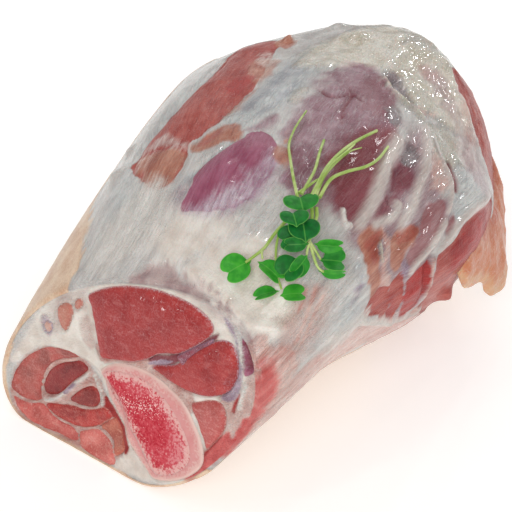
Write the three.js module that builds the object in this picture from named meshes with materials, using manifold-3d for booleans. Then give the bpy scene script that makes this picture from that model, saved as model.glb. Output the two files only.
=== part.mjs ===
// A raw pork shank, skinned and sawn through the shin, with a small bunch of radish sprouts laid on it.
// Millimetres, +Z up. The leg lies along +X on its flattened underside: the sawn cut faces -X and leans
// back a little, and the rounded knee end is at +X. Angles round the leg run from the near side (-Y) at
// 0 degrees, over the top at 90, to the far side (+Y) at 180 and the underside at 270.

import * as THREE from "three";
import Module from "manifold-3d";
import { mergeVertices } from "three/addons/utils/BufferGeometryUtils.js";

const wasm = await Module();
wasm.setup();

// --- driving dimensions -------------------------------------------------------------------------

const LENGTH = 205.5; // foot of the cut to the knee end
const CUT_SLOPE = 0.325; // how far the cut leans back for each millimetre of height
const SAG = 4; // how far the underside is pressed flat
const DOME_START = 120; // where the knee end begins to round off
const DOME_ROUND = { along: 2.3, across: 2.1 };
const GAP = 0.3; // clearance between pieces that touch

const ROWS = 36; // steps along the leg
const COLUMNS = 56; // steps round the leg
const ROW_CROWDING = 1.5; // above 1, rows draw together towards the knee end

// Sections across the leg. A section is a squared ellipse that leans away from the near side as it rises.
const STATIONS = [
  { x: -10, shift: 15.5, halfWidth: 44, halfHeight: 22, lean: 0.4, squareness: 2.6 },
  { x: 20, shift: 12.5, halfWidth: 52.5, halfHeight: 37, lean: 0.56, squareness: 2.1 },
  { x: 60, shift: 12.5, halfWidth: 60.5, halfHeight: 49.5, lean: 0.49, squareness: 2.3 },
  { x: 110, shift: 14, halfWidth: 71, halfHeight: 50.5, lean: 0.24, squareness: 2.4 },
  { x: 160, shift: 19, halfWidth: 75.5, halfHeight: 50, lean: 0.1, squareness: 2.2 },
  { x: 205, shift: 11, halfWidth: 65.5, halfHeight: 63.5, lean: 0.07, squareness: 1.8 },
];

// Muscle bellies that stand out of the leg, and furrows (height below 0) between them. Long is in
// millimetres along the leg, wide in degrees round it, and twist in degrees for each millimetre.
const BULGES = [
  { x: 98, angle: 136, twist: -0.1, long: 38, wide: 15, height: 3.5 }, // long extensor on the far side
  { x: 74, angle: 101, twist: -0.15, long: 24, wide: 9, height: 2 }, // short belly along the top
  { x: 120, angle: 76, twist: 0.05, long: 48, wide: 16, height: 3.5 }, // main belly
  { x: 110, angle: 10, twist: 0, long: 28, wide: 14, height: 2.5 }, // near belly
  { x: 34, angle: 72, twist: 0, long: 14, wide: 24, height: 2.5 }, // lobe of fat above the cut
  { x: 125, angle: 110, twist: -0.05, long: 40, wide: 8, height: -2 }, // furrow beside the extensor
  { x: 96, angle: 46, twist: 0, long: 30, wide: 8, height: -1.5 }, // furrow beside the near belly
  { x: 180, angle: 42, twist: 0, long: 30, wide: 26, height: -3 }, // hollow where the knee was parted
];

// What the saw laid open: outlines on the cut as [across, up], and how far each piece runs into the leg.
const CUT_PIECES = [
  {
    name: "shin_bone",
    colour: "#dcb6ab",
    depth: 140,
    outline: [[19, 35.5], [12, 38.9], [2, 40.6], [-9, 37.8], [-17, 33.2], [-22.6, 27], [-25.4, 20.5],
      [-23.5, 14], [-16, 8.4], [-8, 6.2], [-1.5, 10.2], [7, 17], [15, 24.6], [19.6, 31]],
  },
  {
    name: "bone_core",
    colour: "#c05a62",
    depth: 128,
    inside: "shin_bone",
    outline: [[17.6, 32.6], [12.5, 35.3], [3, 37], [-7, 34.8], [-14.5, 30.4], [-19.8, 24.8], [-22.4, 19.4],
      [-20.8, 14.6], [-14.8, 10.4], [-8, 9], [-2, 13], [5.6, 19.2], [13, 25.6]],
  },
  {
    name: "upper_muscle",
    colour: "#a8453f",
    depth: 105,
    outline: [[31, 56.6], [21, 64.2], [5, 69.4], [-10, 69.8], [-19.4, 67], [-20.6, 61.6], [-14, 56.4],
      [-3, 50], [8, 43.4], [17, 40.6], [23, 41.6], [27.4, 48.5]],
  },
  {
    name: "side_muscle",
    colour: "#a8423d",
    depth: 95,
    outline: [[-23, 62], [-28, 64], [-32, 60.6], [-33.8, 53.5], [-31.6, 47.6], [-25.5, 44.2], [-16, 41.2],
      [-5, 42.4], [1, 43.2], [-6, 46.6], [-12, 50.6], [-17.6, 57]],
  },
  {
    name: "small_muscle",
    colour: "#bf736b",
    depth: 60,
    outline: [[-20, 36], [-22.4, 39.6], [-27, 41.4], [-31, 40.4], [-32.8, 35.8], [-31.4, 31.6],
      [-28.4, 28.4], [-25.4, 28.6], [-22.8, 31.6]],
  },
  {
    name: "calf_outer",
    colour: "#b06058",
    depth: 100,
    outline: [[57.4, 9], [58.4, 17], [55.6, 23.4], [49.6, 29.8], [42, 33.6], [34.4, 33.8], [40.4, 29.4],
      [46.6, 23.6], [48.4, 17], [49.4, 10.4]],
  },
  {
    name: "calf_deep",
    colour: "#8f4a46",
    depth: 90,
    outline: [[45.6, 17.4], [44.8, 22], [38, 28.2], [28.6, 32.2], [30, 27], [33.4, 20.6], [38.4, 17]],
  },
  {
    name: "calf_inner",
    colour: "#8d4744",
    depth: 70,
    outline: [[28.8, 24.4], [23.6, 27], [20.6, 24.8], [21, 22], [26.2, 19.2], [31, 18.2]],
  },
  {
    name: "calf_lower",
    colour: "#b8665a",
    depth: 100,
    outline: [[47.6, 7.4], [40, 11.4], [32, 15], [24, 17.6], [15.6, 19.6], [10, 15.8], [6.2, 11.6],
      [9.4, 5.6], [16, 3.2], [30, 2.8], [44, 2.8], [51.6, 4.8]],
  },
  {
    name: "front_slip",
    colour: "#b87670",
    depth: 50,
    outline: [[44, 46.6], [41.6, 49.8], [37.8, 50.8], [36.6, 47.6], [37, 44.6], [39, 40.6], [42, 42]],
  },
  {
    name: "round_tendon",
    colour: "#d9cfca",
    depth: 50,
    outline: [[49.4, 39.2], [47.8, 41.4], [45.4, 41.2], [44.4, 39], [45.4, 36.9], [47.8, 36.8]],
  },
];
const OUTLINE_SPACING = 4.4; // between the corners of a piece's outline
const OUTLINE_CORNERS = { fewest: 8, most: 30 };
const RISE = 0.1; // how far the pieces climb for each millimetre into the leg
const LOFT = [
  { reach: 0, size: 1 },
  { reach: 0.45, size: 0.96 },
  { reach: 0.85, size: 0.78 },
  { reach: 1, size: 0.42 },
];

// The loose flap of skin and fat that hangs against the near side of the knee end.
const FLAP = {
  start: 118,
  end: 178,
  angle: 10, // where it grows from the leg, and then its middle line from there, as [across, up]
  root: [7, 2],
  bend: [-13, -14],
  tip: [-9, -43],
  rootThickness: 8,
  tipThickness: 3,
  rows: 10,
  steps: 6,
};

// The bunch of sprouts: places on the leg as [along, angle].
const SPROUT_KNOT = [59, 74];
const SPROUT_LEAVES = [
  { at: [61, 80], reach: 5.5 },
  { at: [64, 74], reach: 6 },
  { at: [55, 76], reach: 8 },
  { at: [55.5, 69], reach: 8 },
  { at: [36, 82], reach: 6 },
  { at: [41, 72.5], reach: 5.5 },
  { at: [44.5, 64], reach: 6 },
  { at: [56, 60.5], reach: 5 },
  { at: [52.5, 54.5], reach: 5.5 },
  { at: [36.5, 64], reach: 7 },
];
const SPROUT_TIPS = [[105, 90], [93, 84], [113, 72], [109, 66.5]];
const LEAF_HALF_THICKNESS = 2.2;
const LEAF_LIFT = 3.6;
const STEM_RADIUS = 1.1;
const STEM_LIFT = 2.4;
const STEM_SIDES = 4;
const STEM_STEPS = 4;

// --- the leg ------------------------------------------------------------------------------------

const STATION_KEYS = ["shift", "halfWidth", "halfHeight", "lean", "squareness"];
const stationSpline = new THREE.CubicInterpolant(
  STATIONS.map((station) => station.x),
  STATIONS.flatMap((station) => STATION_KEYS.map((key) => station[key])),
  STATION_KEYS.length,
);

function sectionAt(x) {
  const values = stationSpline.evaluate(x);
  return Object.fromEntries(STATION_KEYS.map((key, i) => [key, values[i]]));
}

function domeScale(x) {
  const share = THREE.MathUtils.clamp((x - DOME_START) / (LENGTH - DOME_START), 0, 1);
  return (1 - share ** DOME_ROUND.along) ** (1 / DOME_ROUND.across);
}

function relief(x, angle) {
  return BULGES.reduce((sum, bulge) => {
    const along = (x - bulge.x) / bulge.long;
    const turn = Math.abs(angle - bulge.angle - bulge.twist * (x - bulge.x)) % 360;
    const across = Math.min(turn, 360 - turn) / bulge.wide;
    return sum + bulge.height * Math.exp(-(along ** 2) - across ** 2);
  }, 0);
}

function signedPower(value, exponent) {
  return Math.sign(value) * Math.abs(value) ** exponent;
}

// A point of the leg's surface.
function surfacePoint(x, angle) {
  const section = sectionAt(x);
  const turn = THREE.MathUtils.degToRad(angle);
  const roundness = 2 / section.squareness;
  const across = -section.halfWidth * signedPower(Math.cos(turn), roundness);
  const up = section.halfHeight * signedPower(Math.sin(turn), roundness);
  const reach = Math.hypot(across, up);
  const grow = domeScale(x) * (1 + relief(x, angle) / reach);
  const y = section.shift + (across - section.lean * up) * grow;
  const z = section.halfHeight - SAG + up * grow;
  return new THREE.Vector3(x, y, Math.max(z, 0));
}

function outwardAt(x, angle) {
  const along = surfacePoint(x + 1, angle).sub(surfacePoint(x - 1, angle));
  const round = surfacePoint(x, angle + 1).sub(surfacePoint(x, angle - 1));
  return along.cross(round).normalize();
}

// Where the line along the leg at this angle meets the plane of the cut.
function cutStart(angle) {
  let x = 0;
  for (let i = 0; i < 12; i++) x = CUT_SLOPE * surfacePoint(x, angle).z;
  return x;
}

// A closed surface over rows of points. The rows follow each other along +X, and each row runs round the
// leg by growing angle.
function grid(rows, columns, pointAt) {
  const points = [];
  const ends = [new THREE.Vector3(), new THREE.Vector3()];
  for (let row = 0; row <= rows; row++) {
    for (let column = 0; column < columns; column++) {
      const point = pointAt(row, column);
      points.push(point);
      if (row === 0) ends[0].addScaledVector(point, 1 / columns);
      if (row === rows) ends[1].addScaledVector(point, 1 / columns);
    }
  }
  const index = [];
  const last = rows * columns;
  for (let column = 0; column < columns; column++) {
    const next = (column + 1) % columns;
    for (let row = 0; row < rows; row++) {
      const [a, b] = [row * columns + column, row * columns + next];
      index.push(a, a + columns, b, b, a + columns, b + columns);
    }
    index.push(points.length, column, next);
    index.push(points.length + 1, last + next, last + column);
  }
  return new THREE.BufferGeometry().setFromPoints([...points, ...ends]).setIndex(index);
}

// The leg without its pockets, with its surface moved outwards by the margin.
function bodyGeometry(margin) {
  const angles = Array.from({ length: COLUMNS }, (_, column) => (360 * column) / COLUMNS);
  const starts = angles.map(cutStart);
  const tip = LENGTH - 0.02;
  return grid(ROWS, COLUMNS, (row, column) => {
    const share = 1 - (1 - row / ROWS) ** ROW_CROWDING;
    const x = THREE.MathUtils.lerp(starts[column], tip, share);
    return surfacePoint(x, angles[column]).addScaledVector(outwardAt(x, angles[column]), margin);
  });
}

function flapGeometry() {
  return grid(FLAP.rows, 2 * FLAP.steps, (row, column) => {
    const share = row / FLAP.rows;
    const droop = Math.max(Math.sin(Math.PI * share), 0) ** 0.6;
    const x = THREE.MathUtils.lerp(FLAP.start, FLAP.end, share);
    const edge = surfacePoint(x, FLAP.angle);
    const root = new THREE.Vector2(edge.y + FLAP.root[0], edge.z + FLAP.root[1]);
    const bend = new THREE.Vector2(edge.y + FLAP.bend[0], edge.z + FLAP.bend[1]).lerp(root, 1 - droop);
    const tip = new THREE.Vector2(edge.y + FLAP.tip[0], edge.z + FLAP.tip[1]).lerp(root, 1 - droop);
    tip.y -= (1 - droop) * FLAP.tipThickness;
    const middle = new THREE.QuadraticBezierCurve(root, bend, tip);
    const outer = column < FLAP.steps;
    const step = outer ? FLAP.steps - column : column - FLAP.steps + 1;
    const down = (step - 0.5) / FLAP.steps;
    const place = middle.getPoint(down);
    const slope = middle.getTangent(down);
    const thickness = THREE.MathUtils.lerp(FLAP.rootThickness, FLAP.tipThickness, down);
    const side = (outer ? 1 : -1) * (thickness / 2);
    return new THREE.Vector3(x, place.x + slope.y * side, Math.max(place.y - slope.x * side, 0));
  });
}

// --- solids -------------------------------------------------------------------------------------

function toSolid(geometry) {
  geometry.deleteAttribute("normal");
  geometry.deleteAttribute("uv");
  const merged = mergeVertices(geometry, 1e-4);
  return new wasm.Manifold(
    new wasm.Mesh({
      numProp: 3,
      vertProperties: new Float32Array(merged.getAttribute("position").array),
      triVerts: new Uint32Array(merged.index.array),
    }),
  );
}

function toMesh(solid, name, colour, roughness) {
  const { vertProperties, triVerts } = solid.getMesh();
  const geometry = new THREE.BufferGeometry()
    .setAttribute("position", new THREE.BufferAttribute(vertProperties, 3))
    .setIndex(new THREE.BufferAttribute(triVerts, 1));
  const material = new THREE.MeshStandardMaterial({ color: colour, roughness, metalness: 0 });
  const mesh = new THREE.Mesh(geometry, material);
  mesh.name = name;
  return mesh;
}

// --- the pieces on the cut ----------------------------------------------------------------------

// The outline as evenly spaced corners, clockwise, moved outwards by the margin.
function outlineCorners(outline, margin) {
  const knots = outline.map(([across, up]) => new THREE.Vector3(across, up, 0));
  const curve = new THREE.CatmullRomCurve3(knots, true);
  const wanted = Math.round(curve.getLength() / OUTLINE_SPACING);
  const count = THREE.MathUtils.clamp(wanted, OUTLINE_CORNERS.fewest, OUTLINE_CORNERS.most);
  const corners = curve.getSpacedPoints(count).slice(0, count);
  if (THREE.ShapeUtils.area(corners) > 0) corners.reverse();
  return corners.map((corner, i) => {
    const along = corners[(i + 1) % count].clone().sub(corners[(i + count - 1) % count]).normalize();
    return new THREE.Vector2(corner.x - along.y * margin, corner.y + along.x * margin);
  });
}

function cutPieceGeometry(piece, margin) {
  const corners = outlineCorners(piece.outline, margin);
  const middle = new THREE.Box2().setFromPoints(corners).getCenter(new THREE.Vector2());
  const ahead = margin > 0 ? 1 : 0;
  return grid(LOFT.length - 1, corners.length, (row, column) => {
    const { reach, size } = LOFT[row];
    const inward = reach * (piece.depth + margin) - (row === 0 ? ahead : 0);
    const corner = corners[column].clone().sub(middle).multiplyScalar(size).add(middle);
    const rise = RISE * Math.max(inward, 0);
    return new THREE.Vector3(CUT_SLOPE * corner.y + inward, corner.x, corner.y + rise);
  });
}

function cutSolid(piece) {
  let solid = toSolid(cutPieceGeometry(piece, 0));
  for (const inner of CUT_PIECES.filter((other) => other.inside === piece.name)) {
    solid = solid.subtract(toSolid(cutPieceGeometry(inner, GAP)));
  }
  return solid;
}

function fleshSolid() {
  let solid = toSolid(bodyGeometry(0));
  for (const piece of CUT_PIECES.filter((other) => !other.inside)) {
    solid = solid.subtract(toSolid(cutPieceGeometry(piece, GAP)));
  }
  return solid;
}

function flapSolid() {
  return toSolid(flapGeometry()).subtract(toSolid(bodyGeometry(GAP)));
}

// --- the sprouts --------------------------------------------------------------------------------

function leafSolid({ at: [x, angle], reach }) {
  const outward = outwardAt(x, angle);
  const place = surfacePoint(x, angle).addScaledVector(outward, LEAF_LIFT);
  const geometry = new THREE.SphereGeometry(1, 8, 4).rotateX(Math.PI / 2);
  geometry.scale(reach, reach, LEAF_HALF_THICKNESS);
  geometry.applyQuaternion(new THREE.Quaternion().setFromUnitVectors(new THREE.Vector3(0, 0, 1), outward));
  return toSolid(geometry.translate(place.x, place.y, place.z));
}

function stemSolid([x, angle]) {
  const stops = [0, 0.33, 0.66, 1].map((share) => {
    const along = THREE.MathUtils.lerp(SPROUT_KNOT[0], x, share);
    const turn = THREE.MathUtils.lerp(SPROUT_KNOT[1], angle, share);
    return surfacePoint(along, turn).addScaledVector(outwardAt(along, turn), STEM_LIFT);
  });
  const circle = new THREE.Path().absarc(0, 0, STEM_RADIUS, 0, 2 * Math.PI);
  const section = new THREE.Shape(circle.getSpacedPoints(STEM_SIDES).slice(1));
  const extrudePath = new THREE.CatmullRomCurve3(stops);
  return toSolid(new THREE.ExtrudeGeometry(section, { steps: STEM_STEPS, extrudePath }));
}

function sproutsSolid() {
  const ends = [...SPROUT_TIPS, ...SPROUT_LEAVES.slice(4).map((leaf) => leaf.at)];
  const solids = [...SPROUT_LEAVES.map(leafSolid), ...ends.map(stemSolid)];
  return solids.reduce((joined, solid) => joined.add(solid));
}

// --- the whole ----------------------------------------------------------------------------------

const shank = new THREE.Group();
shank.add(toMesh(fleshSolid(), "flesh", "#d8c3bb", 0.35));
shank.add(toMesh(flapSolid(), "skin_flap", "#dcae92", 0.4));
for (const piece of CUT_PIECES) shank.add(toMesh(cutSolid(piece), piece.name, piece.colour, 0.4));
shank.add(toMesh(sproutsSolid(), "sprouts", "#3f8f2f", 0.5));

// The origin is on the surface it rests on, under the middle of its box.
const box = new THREE.Box3().setFromObject(shank);
const middle = box.getCenter(new THREE.Vector3());
shank.position.set(-middle.x, -middle.y, -box.min.z);

export default shank;
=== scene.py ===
# A raw pork shank, skinned over the top and sawn through the shin, with a bunch of radish sprouts on it.
# Shapes are worked out in millimetres on the leg: x runs along it from the foot of the cut, y across it and
# z up. A place on its surface is (x, angle), with the angle running from the near side (-Y) at 0 degrees,
# over the top at 90, to the far side at 180 and the underside at 270. Meshes are made in metres, in the
# frame.
import math

import bmesh
import bpy
import numpy as np
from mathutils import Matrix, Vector
from mathutils.geometry import delaunay_2d_cdt


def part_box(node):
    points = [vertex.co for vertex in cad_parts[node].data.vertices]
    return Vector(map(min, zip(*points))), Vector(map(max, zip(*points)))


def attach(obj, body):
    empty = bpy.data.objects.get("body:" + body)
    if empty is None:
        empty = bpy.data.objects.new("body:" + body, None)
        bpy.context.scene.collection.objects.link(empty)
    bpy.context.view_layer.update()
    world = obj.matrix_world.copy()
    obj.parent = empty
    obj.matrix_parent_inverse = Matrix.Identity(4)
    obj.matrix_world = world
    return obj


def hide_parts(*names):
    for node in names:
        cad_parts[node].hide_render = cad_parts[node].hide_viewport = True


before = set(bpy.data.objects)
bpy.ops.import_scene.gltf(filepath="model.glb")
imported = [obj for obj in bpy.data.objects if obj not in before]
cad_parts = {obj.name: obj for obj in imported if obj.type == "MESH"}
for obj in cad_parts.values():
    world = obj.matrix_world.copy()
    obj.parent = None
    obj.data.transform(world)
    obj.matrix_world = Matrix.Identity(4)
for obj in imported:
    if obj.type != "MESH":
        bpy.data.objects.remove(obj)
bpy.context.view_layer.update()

MM = 0.001
LENGTH = 205.5  # foot of the cut to the knee end
CUT_SLOPE = 0.325  # how far the cut leans back for each millimetre of height
SAG = 4  # how far the underside is pressed flat
DOME_START = 120  # where the knee end begins to round off
DOME_ALONG, DOME_ACROSS = 2.3, 2.1  # how full its curve is
FAR_SIDE = 92.34  # from the line y = 0 to the leg's farthest point

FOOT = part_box("flesh")[0].x / MM
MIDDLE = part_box("flesh")[1].y / MM - FAR_SIDE
ORIGIN = np.array([FOOT, MIDDLE, 0.0])  # the leg's own zero, in the frame

# Sections across the leg, as the CAD flesh has them: x, shift, half width, half height, lean, squareness.
STATIONS = np.array([
    [-10, 15.5, 44, 22, 0.4, 2.6],
    [20, 12.5, 52.5, 37, 0.56, 2.1],
    [60, 12.5, 60.5, 49.5, 0.49, 2.3],
    [110, 14, 71, 50.5, 0.24, 2.4],
    [160, 19, 75.5, 50, 0.1, 2.2],
    [205, 11, 65.5, 63.5, 0.07, 1.8],
])

# Muscle bellies, furrows and smaller lumps on the leg: x, angle, twist (degrees for each mm along), reach
# along (mm), reach round (degrees), height (mm).
BULGES = [
    (98, 136, -0.1, 38, 15, 3.5),  # long extensor on the far side
    (74, 101, -0.15, 24, 9, 2),  # short belly along the top
    (120, 76, 0.05, 48, 16, 3.5),  # main belly
    (110, 10, 0, 28, 14, 2.5),  # near belly
    (34, 72, 0, 14, 24, 2.5),  # lobe of fat above the cut
    (125, 110, -0.05, 40, 8, -2),  # furrow beside the extensor
    (96, 46, 0, 30, 8, -1.5),  # furrow beside the near belly
    (180, 42, 0, 30, 26, -3),  # hollow where the knee was parted
]

# --- shape of the leg -----------------------------------------------------------------------------------


def smooth(low, high, value):
    """0 below low and 1 above high, with a soft step between."""
    share = np.clip((value - low) / (high - low), 0, 1)
    return share * share * (3 - 2 * share)


def lumps(points, size, seed):
    """Smooth noise from -1 to 1. Its lumps are about size across: one number, or one for each axis."""
    at = np.asarray(points) / np.asarray(size, float) + seed * 17.37
    cell = np.floor(at).astype(np.int64)
    share = at - cell
    share = share * share * (3 - 2 * share)
    total = np.zeros(at.shape[:-1])
    for corner in np.ndindex(2, 2, 2):
        key = ((cell + corner) * (73856093, 19349663, 83492791)).sum(-1) & 0xFFFFFFFF
        key = ((key ^ (key >> 15)) * 2246822519) & 0xFFFFFFFF
        key = ((key ^ (key >> 13)) * 3266489917) & 0xFFFFFFFF
        weight = np.where(corner, share, 1 - share).prod(-1)
        total += weight * (key / 2**31 - 1)
    return total


def section(x):
    """The section's five measures at each x, on a smooth curve through the stations."""
    knots, values = STATIONS[:, 0], STATIONS[:, 1:]
    slopes = np.diff(values, axis=0) / np.diff(knots)[:, None]
    tangents = np.vstack([slopes[:1], (slopes[:-1] + slopes[1:]) / 2, slopes[-1:]])
    x = np.clip(x, knots[0], knots[-1])
    i = np.clip(np.searchsorted(knots, x, side="right") - 1, 0, len(knots) - 2)
    span = (knots[i + 1] - knots[i])[..., None]
    t = (x - knots[i])[..., None] / span
    start = (2 * t**3 - 3 * t**2 + 1) * values[i] + (t**3 - 2 * t**2 + t) * span * tangents[i]
    end = (3 * t**2 - 2 * t**3) * values[i + 1] + (t**3 - t**2) * span * tangents[i + 1]
    return start + end


def turned(angle, middle):
    """The angle less the middle, from -180 to 180."""
    return (angle - middle + 180) % 360 - 180


def signed_power(value, exponent):
    """The size of the value raised to the exponent, with the value's sign."""
    return np.sign(value) * np.abs(value) ** exponent


def skin(x, angle):
    """Points of the leg's surface."""
    x, angle = np.broadcast_arrays(np.asarray(x, float), np.asarray(angle, float))
    shift, half_width, half_height, lean, squareness = np.moveaxis(section(x), -1, 0)
    turn = np.radians(angle)
    across = -half_width * signed_power(np.cos(turn), 2 / squareness)
    up = half_height * signed_power(np.sin(turn), 2 / squareness)
    relief = sum(
        height * np.exp(-(((x - at) / along) ** 2) - (turned(angle, middle + twist * (x - at)) / wide) ** 2)
        for at, middle, twist, along, wide, height in BULGES
    )
    share = np.clip((x - DOME_START) / (LENGTH - DOME_START), 0, 1)
    dome = (1 - share**DOME_ALONG) ** (1 / DOME_ACROSS)
    grow = dome * (1 + relief / np.hypot(across, up))
    y = shift + (across - lean * up) * grow
    return np.stack([x, y, above_floor(half_height - SAG + up * grow)], -1)


def above_floor(z, softness=0.7):
    """Heights pressed up to the surface that the leg lies on, with a soft edge round the flat."""
    return softness * np.logaddexp(0, z / softness)


CUT_ROUNDS = 12  # enough for the place to settle


def cut_start(angle):
    """Where the line along the leg at this angle meets the plane of the cut."""
    x = np.zeros_like(np.asarray(angle, float))
    for _ in range(CUT_ROUNDS):
        x = CUT_SLOPE * skin(x, angle)[..., 2]
    return x


def outward(x, angle):
    """Which way the leg's surface faces there, as a unit vector."""
    along = skin(x + 1.0, angle) - skin(x - 1.0, angle)
    around = skin(x, angle + 1.0) - skin(x, angle - 1.0)
    across = np.cross(along, around)
    return across / np.linalg.norm(across, axis=-1, keepdims=True)


def grid_normals(grid):
    """Outward normals of a grid of points whose rows are closed loops."""
    along = np.gradient(grid, axis=0)
    around = (np.roll(grid, -1, axis=1) - np.roll(grid, 1, axis=1)) / 2
    across = np.cross(along, around)
    return across / np.maximum(np.linalg.norm(across, axis=-1, keepdims=True), 1e-9)


# --- outlines -------------------------------------------------------------------------------------------


def rounded(outline, steps=4, closed=True):
    """A smooth curve through the outline's points, with this many steps from each point to the next."""
    knots = np.asarray(outline, float)
    if closed:
        before, after = knots[-1:], knots[:2]
    else:
        before, after = 2 * knots[:1] - knots[1:2], 2 * knots[-1:] - knots[-2:-1]
    padded = np.vstack([before, knots, after])
    count = len(knots) if closed else len(knots) - 1
    t = (np.arange(steps) / steps)[None, :, None]
    a, b, c, d = (padded[i:i + count][:, None] for i in range(4))
    square, cube = 2 * a - 5 * b + 4 * c - d, 3 * b - a - 3 * c + d
    curve = 0.5 * (2 * b + (c - a) * t + square * t**2 + cube * t**3)
    curve = curve.reshape(-1, knots.shape[1])
    return curve if closed else np.vstack([curve, knots[-1:]])


def evenly(curve, spacing, closed=True):
    """The curve's points, moved to lie this far apart."""
    loop = np.vstack([curve, curve[:1]]) if closed else curve
    run = np.concatenate([[0], np.cumsum(np.linalg.norm(np.diff(loop, axis=0), axis=1))])
    count = max(int(round(run[-1] / spacing)), 3)
    stops = np.linspace(0, run[-1], count + 1)
    stops = stops[:-1] if closed else stops
    return np.stack([np.interp(stops, run, loop[:, k]) for k in range(loop.shape[1])], -1)


def gap_to_line(line, points):
    """Each point's distance to an open line, and how far along it the nearest place is, from 0 to 1."""
    lengths = np.linalg.norm(np.diff(line, axis=0), axis=1)
    run = np.concatenate([[0], np.cumsum(lengths)]) / lengths.sum()
    best, place = np.full(len(points), np.inf), np.zeros(len(points))
    for i in range(len(line) - 1):
        edge, offset = line[i + 1] - line[i], points - line[i]
        share = np.clip(offset @ edge / max(edge @ edge, 1e-9), 0, 1)
        gap = np.linalg.norm(offset - share[:, None] * edge, axis=1)
        nearer = gap < best
        best = np.where(nearer, gap, best)
        place = np.where(nearer, run[i] + share * (run[i + 1] - run[i]), place)
    return best, place


def depth_inside(outline, points):
    """How far inside the closed outline each point lies, and negative outside it."""
    gap, _ = gap_to_line(np.vstack([outline, outline[:1]]), points)
    inside = np.zeros(len(points), bool)
    for a, b in zip(outline, np.roll(outline, -1, axis=0)):
        crosses = (a[1] > points[:, 1]) != (b[1] > points[:, 1])
        rise = (b[1] - a[1]) or 1e-9
        inside ^= crosses & (points[:, 0] < a[0] + (points[:, 1] - a[1]) / rise * (b[0] - a[0]))
    return np.where(inside, gap, -gap)


def turning(outline):
    """Above 0 where the closed outline runs anticlockwise, and below 0 where it runs clockwise."""
    after = np.roll(outline, -1, axis=0)
    return (outline[:, 0] * after[:, 1] - after[:, 0] * outline[:, 1]).sum()


def widened(outline, growth):
    """The closed outline pushed out by this many mm."""
    along = np.roll(outline, -2, axis=0) - np.roll(outline, 2, axis=0)
    across = np.stack([along[:, 1], -along[:, 0]], -1) / np.linalg.norm(along, axis=1)[:, None]
    return outline + growth * np.sign(turning(outline)) * across


# --- what shows on the leg ------------------------------------------------------------------------------

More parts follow.
